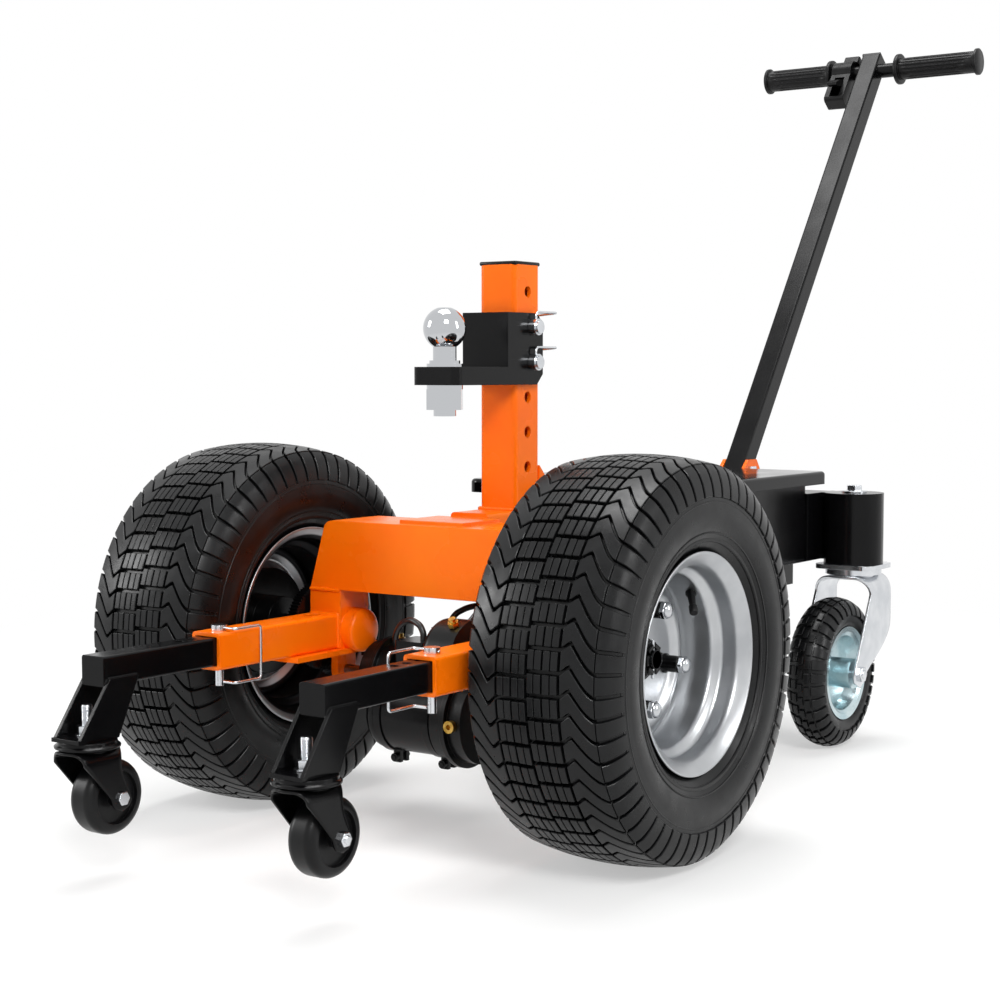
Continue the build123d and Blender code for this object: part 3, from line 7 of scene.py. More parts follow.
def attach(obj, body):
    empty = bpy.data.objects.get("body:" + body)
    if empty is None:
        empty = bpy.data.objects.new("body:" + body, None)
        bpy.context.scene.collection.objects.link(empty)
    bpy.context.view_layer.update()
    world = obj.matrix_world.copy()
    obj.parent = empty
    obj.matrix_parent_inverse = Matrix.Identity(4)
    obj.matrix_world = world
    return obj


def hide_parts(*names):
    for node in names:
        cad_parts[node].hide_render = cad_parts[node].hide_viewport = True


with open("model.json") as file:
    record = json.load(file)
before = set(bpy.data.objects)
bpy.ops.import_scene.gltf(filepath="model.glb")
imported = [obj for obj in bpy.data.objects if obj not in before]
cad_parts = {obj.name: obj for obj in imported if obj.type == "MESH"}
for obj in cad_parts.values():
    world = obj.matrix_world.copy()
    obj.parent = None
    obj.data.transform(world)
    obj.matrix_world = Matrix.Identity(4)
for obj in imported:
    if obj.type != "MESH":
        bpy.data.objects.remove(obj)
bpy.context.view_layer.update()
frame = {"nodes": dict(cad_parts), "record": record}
nodes = frame["nodes"]
print("frame loaded,", len(nodes), "nodes")

axleY = -0.3782165  # the wheel axle's place along the frame
axleZ = 0.209
trackX = 0.2565  # middle of a drive wheel
armX = 0.1405  # middle of a front arm and its caster
rearX = 0.171  # middle of a rear caster
frontStemY = axleY - 0.385
rearWheelY = axleY + 0.654
postY = axleY + 0.140


# small helpers

def toLinear(hexText):
    out = []
    for i in (0, 2, 4):
        c = int(hexText[i:i + 2], 16) / 255
        out.append(c / 12.92 if c <= 0.04045 else ((c + 0.055) / 1.055) ** 2.4)
    return (out[0], out[1], out[2], 1.0)


def deselectAll():
    if bpy.context.mode != "OBJECT":
        bpy.ops.object.mode_set(mode="OBJECT")
    bpy.ops.object.select_all(action="DESELECT")


def pick(*things):
    deselectAll()
    for thing in things:
        thing.select_set(True)
    bpy.context.view_layer.objects.active = things[0]


def applyPlace(piece):
    pick(piece)
    bpy.ops.object.transform_apply(location=True, rotation=True, scale=True)


def joinAll(pieces, name):
    pick(*pieces)
    if len(pieces) > 1:
        bpy.ops.object.join()
    piece = bpy.context.view_layer.objects.active
    piece.name = name
    piece.data.name = name
    return piece


def copyOf(piece, matrix):
    twin = piece.copy()
    twin.data = piece.data.copy()
    bpy.context.scene.collection.objects.link(twin)
    twin.data.transform(matrix)
    return twin


def useModifier(piece, kind, **values):
    pick(piece)
    modifier = piece.modifiers.new(kind.lower(), kind)
    for key, value in values.items():
        setattr(modifier, key, value)
    bpy.ops.object.modifier_apply(modifier=modifier.name)


def smooth(piece, degrees=35):
    pick(piece)
    bpy.ops.object.shade_smooth_by_angle(angle=math.radians(degrees))


def finishPiece(piece, body, material, stands=()):
    piece.data.materials.clear()
    piece.data.materials.append(material)
    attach(piece, body)
    if stands:
        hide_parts(*stands)
    return piece


# materials

def addNode(tree, kind, settings=None, links=None):
    node = tree.nodes.new(kind)
    for key, value in (settings or {}).items():
        if isinstance(key, str) and hasattr(node, key):
            setattr(node, key, value)
        else:
            node.inputs[key].default_value = value
    for key, source in (links or {}).items():
        tree.links.new(source, node.inputs[key])
    return node


def newMaterial(name, hexText, roughness, metallic=0.0, **shaderValues):
    material = bpy.data.materials.new(name)
    material.use_nodes = True
    tree = material.node_tree
    shader = tree.nodes["Principled BSDF"]
    shader.inputs["Base Color"].default_value = toLinear(hexText)
    shader.inputs["Roughness"].default_value = roughness
    shader.inputs["Metallic"].default_value = metallic
    for key, value in shaderValues.items():
        shader.inputs[key.replace("_", " ")].default_value = value
    place = addNode(tree, "ShaderNodeTexCoord")
    return material, tree, shader, place.outputs["Object"]


def grain(tree, shader, place, sizeMm, depthMm, detail=3.0, stretch=(1, 1, 1), edgeMm=0.0):
    # bump from a noise whose cells are sizeMm apart and depthMm high; edgeMm softens the edges that catch light
    spread = addNode(tree, "ShaderNodeMapping", {"Scale": stretch}, {"Vector": place})
    noise = addNode(tree, "ShaderNodeTexNoise", {"Scale": 1000.0 / sizeMm, "Detail": detail},
                    {"Vector": spread.outputs["Vector"]})
    bump = addNode(tree, "ShaderNodeBump", {"Strength": 1.0, "Distance": depthMm / 1000.0},
                   {"Height": noise.outputs["Fac"]})
    if edgeMm:
        edge = addNode(tree, "ShaderNodeBevel", {"Radius": edgeMm / 1000.0, "samples": 4})
        tree.links.new(edge.outputs["Normal"], bump.inputs["Normal"])
    tree.links.new(bump.outputs["Normal"], shader.inputs["Normal"])
    return noise


def tint(tree, shader, place, hexLow, hexHigh, sizeMm, low=0.35, high=0.65, detail=4.0):
    noise = addNode(tree, "ShaderNodeTexNoise", {"Scale": 1000.0 / sizeMm, "Detail": detail}, {"Vector": place})
    ramp = addNode(tree, "ShaderNodeValToRGB", None, {"Fac": noise.outputs["Fac"]})
    ramp.color_ramp.elements[0].position = low
    ramp.color_ramp.elements[0].color = toLinear(hexLow)
    ramp.color_ramp.elements[1].position = high
    ramp.color_ramp.elements[1].color = toLinear(hexHigh)
    tree.links.new(ramp.outputs["Color"], shader.inputs["Base Color"])
    return ramp


def glossRange(tree, shader, place, low, high, sizeMm):
    noise = addNode(tree, "ShaderNodeTexNoise", {"Scale": 1000.0 / sizeMm, "Detail": 5.0}, {"Vector": place})
    spread = addNode(tree, "ShaderNodeMapRange", {"From Min": 0.3, "From Max": 0.7, "To Min": low, "To Max": high},
                     {"Value": noise.outputs["Fac"]})
    tree.links.new(spread.outputs["Result"], shader.inputs["Roughness"])


def orangePowderCoat():
    # baked polyester powder on steel: vivid orange, a faint orange peel, wet-looking gloss on the edges
    material, tree, shader, place = newMaterial("orangePowderCoat", "ff7606", 0.26, IOR=1.3)
    tint(tree, shader, place, "fd6b02", "ff7806", 120)
    grain(tree, shader, place, 2.4, 0.02, edgeMm=1.4)
    glossRange(tree, shader, place, 0.22, 0.34, 60)
    return material


def blackPowderCoat():
    # gloss black powder coat: deep, even, with crisp light lines along the edges
    material, tree, shader, place = newMaterial("blackPowderCoat", "070708", 0.2, IOR=1.26)
    tint(tree, shader, place, "060607", "0a0a0b", 90)
    grain(tree, shader, place, 2.0, 0.02, edgeMm=1.2)
    glossRange(tree, shader, place, 0.16, 0.26, 50)
    return material


def glossBlackLacquer():
    # lacquered pressed sheet: deep black with a clear, sharp reflection
    material, tree, shader, place = newMaterial("glossBlackLacquer", "040405", 0.1, IOR=1.28)
    grain(tree, shader, place, 6.0, 0.015, edgeMm=1.5)
    glossRange(tree, shader, place, 0.09, 0.18, 80)
    return material


def castIronPaint():
    # painted sand casting: coarse skin under black enamel
    material, tree, shader, place = newMaterial("castIronPaint", "090909", 0.3, IOR=1.3)
    tint(tree, shader, place, "080808", "101010", 40)
    grain(tree, shader, place, 1.6, 0.1, edgeMm=1.2)
    return material


def zincPlate():
    # bright zinc plating: pale metal with the least cloud in it
    material, tree, shader, place = newMaterial("zincPlate", "cfd1d4", 0.2, 1.0)
    tint(tree, shader, place, "cbced2", "dadcdf", 30)
    grain(tree, shader, place, 3.0, 0.004, edgeMm=0.8)
    glossRange(tree, shader, place, 0.18, 0.26, 25)
    return material


def blueZincPlate():
    # blue passivated zinc on a pressed steel rim
    material, tree, shader, place = newMaterial("blueZincPlate", "c0d0d4", 0.24, 1.0)
    tint(tree, shader, place, "aec5cb", "cfdcde", 40)
    grain(tree, shader, place, 3.0, 0.006)
    return material


def chromePlate():
    # polished chrome: a near mirror with the least haze
    material, tree, shader, place = newMaterial("chromePlate", "c0c2c5", 0.05, 1.0)
    glossRange(tree, shader, place, 0.04, 0.08, 20)
    return material


def machinedSteel():
    # turned and hobbed steel under a film of oil
    material, tree, shader, place = newMaterial("machinedSteel", "8d9093", 0.3, 1.0)
    grain(tree, shader, place, 1.2, 0.02, 2.0, (6, 1, 1))
    return material


def aluminiumExtrusion():
    # extruded aluminium heat sink: matte, with fine lines along the fins
    material, tree, shader, place = newMaterial("aluminiumExtrusion", "a8aaad", 0.38, 1.0)
    grain(tree, shader, place, 1.0, 0.02, 2.0, (8, 1, 8))
    return material


def silverWheelPaint():
    # silver wheel paint: fine metal flake under a thin clear coat; behind the disc the inner side is dark grey
    # painted shade, and only the lip stays silver
    material, tree, shader, place = newMaterial("silverWheelPaint", "b9bbbd", 0.28, 0.95)
    ramp = tint(tree, shader, place, "aaacaf", "bcbec0", 60)
    across = addNode(tree, "ShaderNodeSeparateXYZ", None, {0: place})
    reach = addNode(tree, "ShaderNodeMath", {"operation": "ABSOLUTE"}, {0: across.outputs["X"]})
    # the disc's outer face and all beyond it, and the lip on the inner side, stay silver; the rest of the inner
    # side gets the painted shade
    face = addNode(tree, "ShaderNodeMapRange", {"From Min": trackX - 0.0020, "From Max": trackX - 0.0010},
                   {"Value": reach.outputs[0]})
    lip = addNode(tree, "ShaderNodeMapRange", {"From Min": trackX - 0.0665, "From Max": trackX - 0.0680},
                  {"Value": reach.outputs[0]})
    silver = addNode(tree, "ShaderNodeMath", {"operation": "MAXIMUM"}, {0: face.outputs[0], 1: lip.outputs[0]})
    # painted shade: 19191b darkens the rim's inner side, where shade falls behind the disc
    paint = addNode(tree, "ShaderNodeMixRGB", {"Color1": toLinear("19191b")},
                    {"Fac": silver.outputs[0], "Color2": ramp.outputs["Color"]})
    tree.links.new(paint.outputs[0], shader.inputs["Base Color"])
    glossRange(tree, shader, place, 0.3, 0.33, 90)
    return material


def tyreRubber():
    # vulcanised tread rubber: near black, with a low wet sheen on the moulded faces
    material, tree, shader, place = newMaterial("tyreRubber", "0b0c0d", 0.36, IOR=1.32)
    tint(tree, shader, place, "080809", "101112", 26, 0.3, 0.7, 6.0)
    grain(tree, shader, place, 1.2, 0.05, edgeMm=0.5)
    glossRange(tree, shader, place, 0.24, 0.4, 18)
    return material


def mouldedRubber():
    # moulded natural rubber: black, low sheen
    material, tree, shader, place = newMaterial("mouldedRubber", "0b0b0c", 0.36, IOR=1.3)
    tint(tree, shader, place, "09090a", "0f0f10", 16)
    grain(tree, shader, place, 1.2, 0.03, edgeMm=0.8)
    return material


def mouldedAbs():
    # injection moulded ABS with a fine spark texture
    material, tree, shader, place = newMaterial("mouldedAbs", "080809", 0.3, IOR=1.28)
    grain(tree, shader, place, 0.9, 0.03, edgeMm=0.8)
    glossRange(tree, shader, place, 0.28, 0.4, 10)
    return material


def yellowBrass():
    # turned brass plug, a little dull
    material, tree, shader, place = newMaterial("yellowBrass", "c29a48", 0.28, 1.0)
    tint(tree, shader, place, "a98338", "d2ab5a", 6)
    return material


def neopreneJacket():
    # cable jacket: smooth black neoprene
    material, tree, shader, place = newMaterial("neopreneJacket", "141415", 0.36, IOR=1.5)
    grain(tree, shader, place, 3.0, 0.03)
    return material


finish = {
    "orange_steel": orangePowderCoat(), "black_steel": blackPowderCoat(), "gloss_lid": glossBlackLacquer(),
    "black_cast": castIronPaint(), "chrome_ball": chromePlate(), "zinc_steel": zincPlate(),
    "gear_steel": machinedSteel(), "aluminium_fins": aluminiumExtrusion(), "silver_rim": silverWheelPaint(),
    "tyre_rubber": tyreRubber(), "black_rubber": mouldedRubber(), "cable_rubber": neopreneJacket(),
    "black_plastic": mouldedAbs(), "brass_plug": yellowBrass(),
}
finish["blue_zinc"] = blueZincPlate()  # for the rear rims, which share the record's slot with the forks
slotOf = {part["node"]: part["material_slot"] for part in frame["record"]["subparts"]}
for nodeName, thing in nodes.items():
    thing.data.materials.clear()
    thing.data.materials.append(finish[slotOf[nodeName]])
for nodeName in ("right_rear_rim", "left_rear_rim"):
    nodes[nodeName].data.materials.clear()
    nodes[nodeName].data.materials.append(finish["blue_zinc"])
print("materials set")


# tyres

def profilePlace(line, reach):
    total = line["length"]
    along = reach + total / 2
    points = line["points"]
    marks = line["marks"]
    for i in range(len(points) - 1):
        if along <= marks[i + 1] or i == len(points) - 2:
            share = (along - marks[i]) / (marks[i + 1] - marks[i])
            x = points[i][0] + (points[i + 1][0] - points[i][0]) * share
            r = points[i][1] + (points[i + 1][1] - points[i][1]) * share
            dx = points[i + 1][0] - points[i][0]
            dr = points[i + 1][1] - points[i][1]
            size = math.hypot(dx, dr)
            return x, r, -dr / size, dx / size
    return points[-1][0], points[-1][1], 0.0, 1.0


def profileLine(points):
    marks = [0.0]
    for a, b in zip(points, points[1:]):
        marks.append(marks[-1] + math.hypot(b[0] - a[0], b[1] - a[1]))
    return {"points": points, "marks": marks, "length": marks[-1]}


def arcPoints(a, b, c, steps):
    ax, ay = a
    bx, by = b
    cx, cy = c
    d = 2 * (ax * (by - cy) + bx * (cy - ay) + cx * (ay - by))
    ux = ((ax * ax + ay * ay) * (by - cy) + (bx * bx + by * by) * (cy - ay) + (cx * cx + cy * cy) * (ay - by)) / d
    uy = ((ax * ax + ay * ay) * (cx - bx) + (bx * bx + by * by) * (ax - cx) + (cx * cx + cy * cy) * (bx - ax)) / d
    radius = math.hypot(ax - ux, ay - uy)
    start = math.atan2(ay - uy, ax - ux)
    end = math.atan2(cy - uy, cx - ux)
    while end - start > math.pi:
        end -= 2 * math.pi
    while start - end > math.pi:
        end += 2 * math.pi
    return [(ux + radius * math.cos(start + (end - start) * i / steps),
             uy + radius * math.sin(start + (end - start) * i / steps)) for i in range(steps + 1)]


def spinProfile(points, steps, name):
    deselectAll()
    bpy.ops.mesh.primitive_circle_add(vertices=len(points), radius=0.1)
    piece = bpy.context.object
    for vertex, (x, r) in zip(piece.data.vertices, points):
        vertex.co = (x, 0, r)
    pick(piece)
    bpy.ops.object.mode_set(mode="EDIT")
    bpy.ops.mesh.select_all(action="SELECT")
    bpy.ops.mesh.spin(steps=steps, angle=2 * math.pi, center=(0, 0, 0), axis=(1, 0, 0))
    bpy.ops.mesh.select_all(action="SELECT")
    bpy.ops.mesh.remove_doubles(threshold=0.00002)
    bpy.ops.mesh.normals_make_consistent(inside=False)
    bpy.ops.object.mode_set(mode="OBJECT")
    piece.name = name
    return piece


def treadBlock(reachA, reachB, length, riseA, riseB, sweep, cuts, bevel):
    # one block of tread lying flat: x across the tyre, y round it, z out of it
    deselectAll()
    bpy.ops.mesh.primitive_grid_add(x_subdivisions=cuts + 1, y_subdivisions=2, size=1.0)
    block = bpy.context.object
    pick(block)
    bpy.ops.object.mode_set(mode="EDIT")
    bpy.ops.mesh.select_all(action="SELECT")
    bpy.ops.mesh.extrude_region_move(TRANSFORM_OT_translate={"value": (0, 0, 1.0)})
    bpy.ops.mesh.select_all(action="SELECT")
    bpy.ops.mesh.normals_make_consistent(inside=False)
    bpy.ops.object.mode_set(mode="OBJECT")
    for vertex in block.data.vertices:
        share = vertex.co.x + 0.5
        reach = reachA + (reachB - reachA) * share
        up = vertex.co.z
        narrow = 1.0 if up < 0.5 else 0.95
        rise = riseA + (riseB - riseA) * share
        vertex.co = (reach, vertex.co.y * length * narrow + sweep(reach), rise if up > 0.5 else -0.0012)
    if bevel:
        useModifier(block, "BEVEL", width=bevel, segments=1, limit_method="ANGLE", angle_limit=math.radians(50))
    return block


def rollTread(pitch, line, count, radius, name):
    rings = []
    for k in range(count):
        twin = pitch.copy()
        twin.data = pitch.data.copy()
        bpy.context.scene.collection.objects.link(twin)
        for vertex in twin.data.vertices:
            x, r, nx, nr = profilePlace(line, vertex.co.x)
            angle = vertex.co.y / radius + 2 * math.pi * k / count
            out = r + nr * vertex.co.z
            vertex.co = (x + nx * vertex.co.z, -out * math.sin(angle), out * math.cos(angle))
        rings.append(twin)
    bpy.data.objects.remove(pitch)
    return joinAll(rings, name)


driveTyre = {
    "radius": 0.209, "halfWidth": 0.0825, "treadHalf": 0.070, "edgeRadius": 0.202, "grooveDepth": 0.0062,
    "pitches": 58, "groove": 0.0031, "lipRadius": 0.1135, "beadRadius": 0.1019, "rimHalf": 0.072,
    # raised lines round the sidewall: radius, half width and height; the lowest guards the rim
    "lines": ((0.1700, 0.0010, 0.0005), (0.1635, 0.0008, 0.0004), (0.1320, 0.0010, 0.0007),
              (0.1250, 0.0024, 0.0013)),
    # the centre ribs: where each begins and ends, and its share of the pitch
    "ribs": ((0.0014, 0.0078, 1.0), (0.0088, 0.0160, 0.97), (0.0178, 0.0250, 1.0), (0.0260, 0.0332, 0.97)),
    "shoulder": (0.0358, 0.0695, 0.0698),
    # how far the grooves step at the middle, and how they fall over the shoulders
    "stepAtMiddle": 0.0085, "fall": 0.038, "fallFrom": 0.032, "fallOver": 0.040,
}


def makeDriveTyre():
    s = driveTyre
    depth = s["grooveDepth"]
    crown = arcPoints((-s["treadHalf"], s["edgeRadius"] - depth), (0, s["radius"] - depth),
                      (s["treadHalf"], s["edgeRadius"] - depth), 24)
    wall = arcPoints((s["treadHalf"], s["edgeRadius"] - depth), (s["halfWidth"] - 0.0035, s["edgeRadius"] - 0.023),
                     (s["halfWidth"] - 0.0004, s["edgeRadius"] - 0.044), 10)
    low = arcPoints((s["halfWidth"] - 0.0004, s["edgeRadius"] - 0.044),
                    (s["halfWidth"] - 0.0028, s["lipRadius"] + 0.021),
                    (s["rimHalf"] - 0.004, s["lipRadius"] + 0.0015), 14)
    right = wall[1:] + low[1:]
    for radius, width, rise in s["lines"]:
        for i in range(len(right) - 1):
            (xa, ra), (xb, rb) = right[i], right[i + 1]
            if ra > radius >= rb:
                x = xa + (xb - xa) * (ra - radius) / (ra - rb)
                ring = [(x, radius + width), (x + rise, radius + width * 0.6),
                        (x + rise, radius - width * 0.6), (x, radius - width)]
                right = right[:i + 1] + ring + right[i + 1:]
                break
    foot = [(s["rimHalf"] - 0.0092, s["lipRadius"] - 0.006), (s["rimHalf"] - 0.0125, s["beadRadius"]),
            (s["rimHalf"] - 0.0245, s["beadRadius"]), (s["halfWidth"] - 0.015, s["lipRadius"] + 0.010),
            (0.0736, 0.156), (0.066, s["edgeRadius"] - 0.014)]
    right = right + foot
    left = [(-x, r) for x, r in reversed(right)]
    under = arcPoints((0.060, 0.1905), (0, 0.1955), (-0.060, 0.1905), 8)
    carcass = spinProfile(crown + right + under + left, 160, "drive_tyre_carcass")
    smooth(carcass, 40)
    line = profileLine([(-x, r) for x, r in reversed(wall[1:])] + crown + wall[1:])
    pitchLength = 2 * math.pi * s["radius"] / s["pitches"]

    def sweep(reach):
        # the grooves step at the middle, run straight over the centre ribs and fall in an S over the shoulders
        share = min(1.0, max(0.0, (abs(reach) - s["fallFrom"]) / s["fallOver"]))
        bend = share * share * (3 - 2 * share)
        return math.copysign(bend * s["fall"] - s["stepAtMiddle"], reach)

    long = pitchLength - s["groove"]
    edge = line["length"] / 2
    blocks = []
    for a, b, share in s["ribs"]:
        for ends in ((a, b), (-b, -a)):
            blocks.append(treadBlock(ends[0], ends[1], long * share, depth, depth, sweep, 1, 0.0005))
    near, far, lugs = s["shoulder"]
    blocks.append(treadBlock(near, far, long, depth, depth - 0.0004, sweep, 10, 0.0006))
    blocks.append(treadBlock(-far, -near, long, depth - 0.0004, depth, sweep, 10, 0.0006))
    blocks.append(treadBlock(lugs, edge - 0.010, long * 0.98, depth - 0.0016, 0.0016, sweep, 6, 0.0006))
    blocks.append(treadBlock(0.010 - edge, -lugs, long * 0.98, 0.0016, depth - 0.0016, sweep, 6, 0.0006))
    pitch = joinAll(blocks, "tread_pitch")
    tread = rollTread(pitch, line, s["pitches"], s["radius"], "drive_tyre_tread")
    smooth(tread, 30)
    tyre = joinAll([carcass, tread], "drive_tyre")
    return tyre


tyre = makeDriveTyre()
for side, sign in (("right", 1), ("left", -1)):
    turn = Matrix.Rotation(0 if sign > 0 else math.pi, 4, "Z")
    place = Matrix.Translation((sign * trackX, axleY, axleZ)) @ turn
    piece = copyOf(tyre, place)
    piece.name = side + "_drive_tyre"
    finishPiece(piece, side + "_wheel", finish["tyre_rubber"], (side + "_tyre",))
bpy.data.objects.remove(tyre)
print("drive tyres made")


casterTyre = {"radius": 0.100, "half": 0.0255, "depth": 0.0028, "pitches": 34, "lip": 0.062}


def makeCasterTyre():
    s = casterTyre
    r = s["radius"] - s["depth"]
    half = s["half"]
    crown = arcPoints((-half + 0.007, r - 0.0065), (0, r), (half - 0.007, r - 0.0065), 12)
    wall = arcPoints((half - 0.007, r - 0.0065), (half - 0.0012, r - 0.019),
                     (half - 0.0022, s["lip"] + 0.0034), 10)
    foot = [(0.0210, s["lip"] + 0.0008), (0.0162, s["lip"] + 0.0008), (0.0162, 0.0545), (0.0135, 0.0545),
            (0.0165, 0.078)]
    right = wall[1:] + foot
    left = [(-x, z) for x, z in reversed(right)]
    under = arcPoints((0.0150, 0.0850), (0, 0.0890), (-0.0150, 0.0850), 6)
    carcass = spinProfile(crown + right + under + left, 120, "caster_tyre_carcass")
    smooth(carcass, 40)
    line = profileLine([(-x, z) for x, z in reversed(wall[1:7])] + crown + wall[1:7])
    pitchLength = 2 * math.pi * s["radius"] / s["pitches"]
    edge = line["length"] / 2

    def stagger(reach):
        return 0.0 if abs(reach) < 0.004 else math.copysign(pitchLength * 0.25, reach)

    deep = s["depth"]
    blocks = [treadBlock(-0.0032, 0.0032, pitchLength * 0.62, deep, deep, stagger, 1, 0.0005)]
    for flip in (1, -1):
        for a, b, share in ((0.0052, 0.0120, 0.70), (0.0140, edge - 0.001, 0.74)):
            ends = sorted((flip * a, flip * b))
            blocks.append(treadBlock(ends[0], ends[1], pitchLength * share, deep, deep, stagger, 3, 0.0005))
    pitch = joinAll(blocks, "caster_pitch")
    tread = rollTread(pitch, line, s["pitches"], s["radius"], "caster_tread")
    smooth(tread, 30)
    return joinAll([carcass, tread], "caster_tyre")


tyre = makeCasterTyre()
for side, sign in (("right", 1), ("left", -1)):
    place = Matrix.Translation((sign * rearX, rearWheelY, casterTyre["radius"]))
    piece = copyOf(tyre, place)
    piece.name = side + "_caster_tyre"
    finishPiece(piece, side + "_rear_wheel", finish["tyre_rubber"], (side + "_rear_tyre",))
bpy.data.objects.remove(tyre)
print("rear caster tyres made")


# drive rims, nuts and valve

def rounded(points, radius, steps=3):
    # a closed profile with each corner replaced by a short curve
    out = []
    count = len(points)
    for i in range(count):
        before = Vector(points[i - 1])
        here = Vector(points[i])
        after = Vector(points[(i + 1) % count])
        reach = min(radius, (before - here).length * 0.45, (after - here).length * 0.45)
        start = here + (before - here).normalized() * reach
        end = here + (after - here).normalized() * reach
        for k in range(steps + 1):
            t = k / steps
            point = start * (1 - t) ** 2 + here * 2 * t * (1 - t) + end * t * t
            out.append((point.x, point.y))
    return out


driveRim = {"half": 0.072, "lip": 0.1135, "seat": 0.0981, "bead": 0.1016, "drop": 0.088, "wall": 0.0035,
            "lugRadius": 0.0508, "lugTurn": -13, "lugCount": 4, "valveTurn": 44, "valveLean": 62,
            "valvePlace": (0.026, 0, 0.0882)}


def makeRim():
    s = driveRim
    w = s["half"]
    barrel = [(w, s["lip"]), (w - 0.002, s["lip"]), (w - 0.008, s["lip"] - 0.006), (w - 0.0085, s["bead"] + 0.001),
              (w - 0.012, s["bead"]), (w - 0.028, s["bead"]), (w - 0.034, s["drop"] + s["wall"])]
    under = [(w - 0.035, s["drop"]), (w - 0.029, s["seat"]), (w - 0.014, s["seat"]),
             (w - 0.010, s["seat"] + 0.001), (w - 0.005, s["seat"] + 0.006), (w, s["lip"] - 0.002)]
    profile = barrel + [(-x, r) for x, r in reversed(barrel)] + [(-x, r) for x, r in reversed(under)] + under
    hoop = spinProfile(rounded(profile, 0.0035), 128, "rim_hoop")
    dish = [(-0.002, 0.024), (0.002, 0.024), (0.002, 0.060), (0.008, 0.068), (0.008, 0.074), (0.000, 0.084),
            (0.000, 0.0885), (-0.004, 0.0885), (-0.004, 0.0823), (0.004, 0.0726), (0.004, 0.0696),
            (-0.002, 0.0616)]
    disc = spinProfile(rounded(dish, 0.005), 128, "rim_disc")
    smooth(hoop, 60)
    smooth(disc, 60)
    return joinAll([hoop, disc], "drive_rim")


def hexagon(flats, x0, x1, y=0.0, z=0.0, edge=0.0006):
    deselectAll()
    bpy.ops.mesh.primitive_cylinder_add(vertices=6, radius=flats / math.sqrt(3), depth=x1 - x0,
                                        location=((x0 + x1) / 2, y, z), rotation=(0, math.pi / 2, 0))
    piece = bpy.context.object
    applyPlace(piece)
    useModifier(piece, "BEVEL", width=edge, segments=2, limit_method="ANGLE", angle_limit=math.radians(40))
    return piece


def turned(points, y=0.0, z=0.0, steps=40):
    # a solid of revolution along X from (x, radius) points, closed on its own axis
    line = [(points[0][0], 0.00001)] + points + [(points[-1][0], 0.00001)]
    piece = spinProfile(line, steps, "turned")
    piece.data.transform(Matrix.Translation((0, y, z)))
    smooth(piece, 40)
    return piece


lugNut = {"sleeve": [(0.0023, 0.0104), (0.0040, 0.0104), (0.0060, 0.0088), (0.0205, 0.0088)],
          "collar": (0.0195, 0.0222), "hexagon": (0.0216, 0.0268),
          "dome": [(0.0262, 0.0082), (0.0280, 0.0080), (0.0297, 0.0068), (0.0310, 0.0042), (0.0315, 0.0018)]}


def makeLugNuts():
    s = driveRim
    sleeves = []
    domes = []
    for i in range(s["lugCount"]):
        angle = math.radians(s["lugTurn"] + 360 / s["lugCount"] * i)
        y = s["lugRadius"] * math.cos(angle)
        z = s["lugRadius"] * math.sin(angle)
        sleeves.append(turned(lugNut["sleeve"], y, z))
        sleeves.append(hexagon(0.0165, *lugNut["collar"], y, z))
        domes.append(hexagon(0.0172, *lugNut["hexagon"], y, z, 0.0009))
        domes.append(turned(lugNut["dome"], y, z))
    return joinAll(sleeves, "lug_sleeves"), joinAll(domes, "lug_domes")


castleNut = {"flats": 0.0330, "from": 0.0086, "to": 0.0150, "teeth": 6, "toothSize": (0.0046, 0.0105, 0.0050),
             "toothPlace": (0.0168, 0, 0.0130), "pinPlace": (0.0163, 0, 0)}


def makeCastleNut():
    s = castleNut
    washer = turned([(0.0062, 0.0188), (0.0084, 0.0188)])
    nut = hexagon(s["flats"], s["from"], s["to"], edge=0.0010)
    crown = []
    for i in range(s["teeth"]):
        deselectAll()
        bpy.ops.mesh.primitive_cube_add(size=1.0, location=s["toothPlace"], scale=s["toothSize"])
        tooth = bpy.context.object
        applyPlace(tooth)
        useModifier(tooth, "BEVEL", width=0.0006, segments=2)
        tooth.data.transform(Matrix.Rotation(math.radians(30 + 360 / s["teeth"] * i), 4, "X"))
        crown.append(tooth)
    neck = hexagon(0.0280, 0.0140, 0.0152)
    return joinAll([washer, nut, neck] + crown, "castle_nut")


def makeCotter():
    pin = turned([(-0.0200, 0.0014), (-0.0196, 0.0018), (0.0196, 0.0018), (0.0200, 0.0014)], steps=16)
    pin.data.transform(Matrix.Translation(castleNut["pinPlace"]) @ Matrix.Rotation(math.pi / 2, 4, "Y"))
    return pin


def makeValve():
    # a snap-in rubber valve with its cap, standing in from the barrel
    body = turned([(0.0, 0.0058), (0.003, 0.0058), (0.006, 0.0042), (0.020, 0.0034), (0.0205, 0.0046),
                   (0.029, 0.0046), (0.030, 0.0038)], steps=24)
    about = Matrix.Rotation(math.radians(-driveRim["valveTurn"]), 4, "X")
    lean = Matrix.Rotation(math.radians(driveRim["valveLean"]), 4, "Y")
    body.data.transform(about @ Matrix.Translation(driveRim["valvePlace"]) @ lean)
    return body


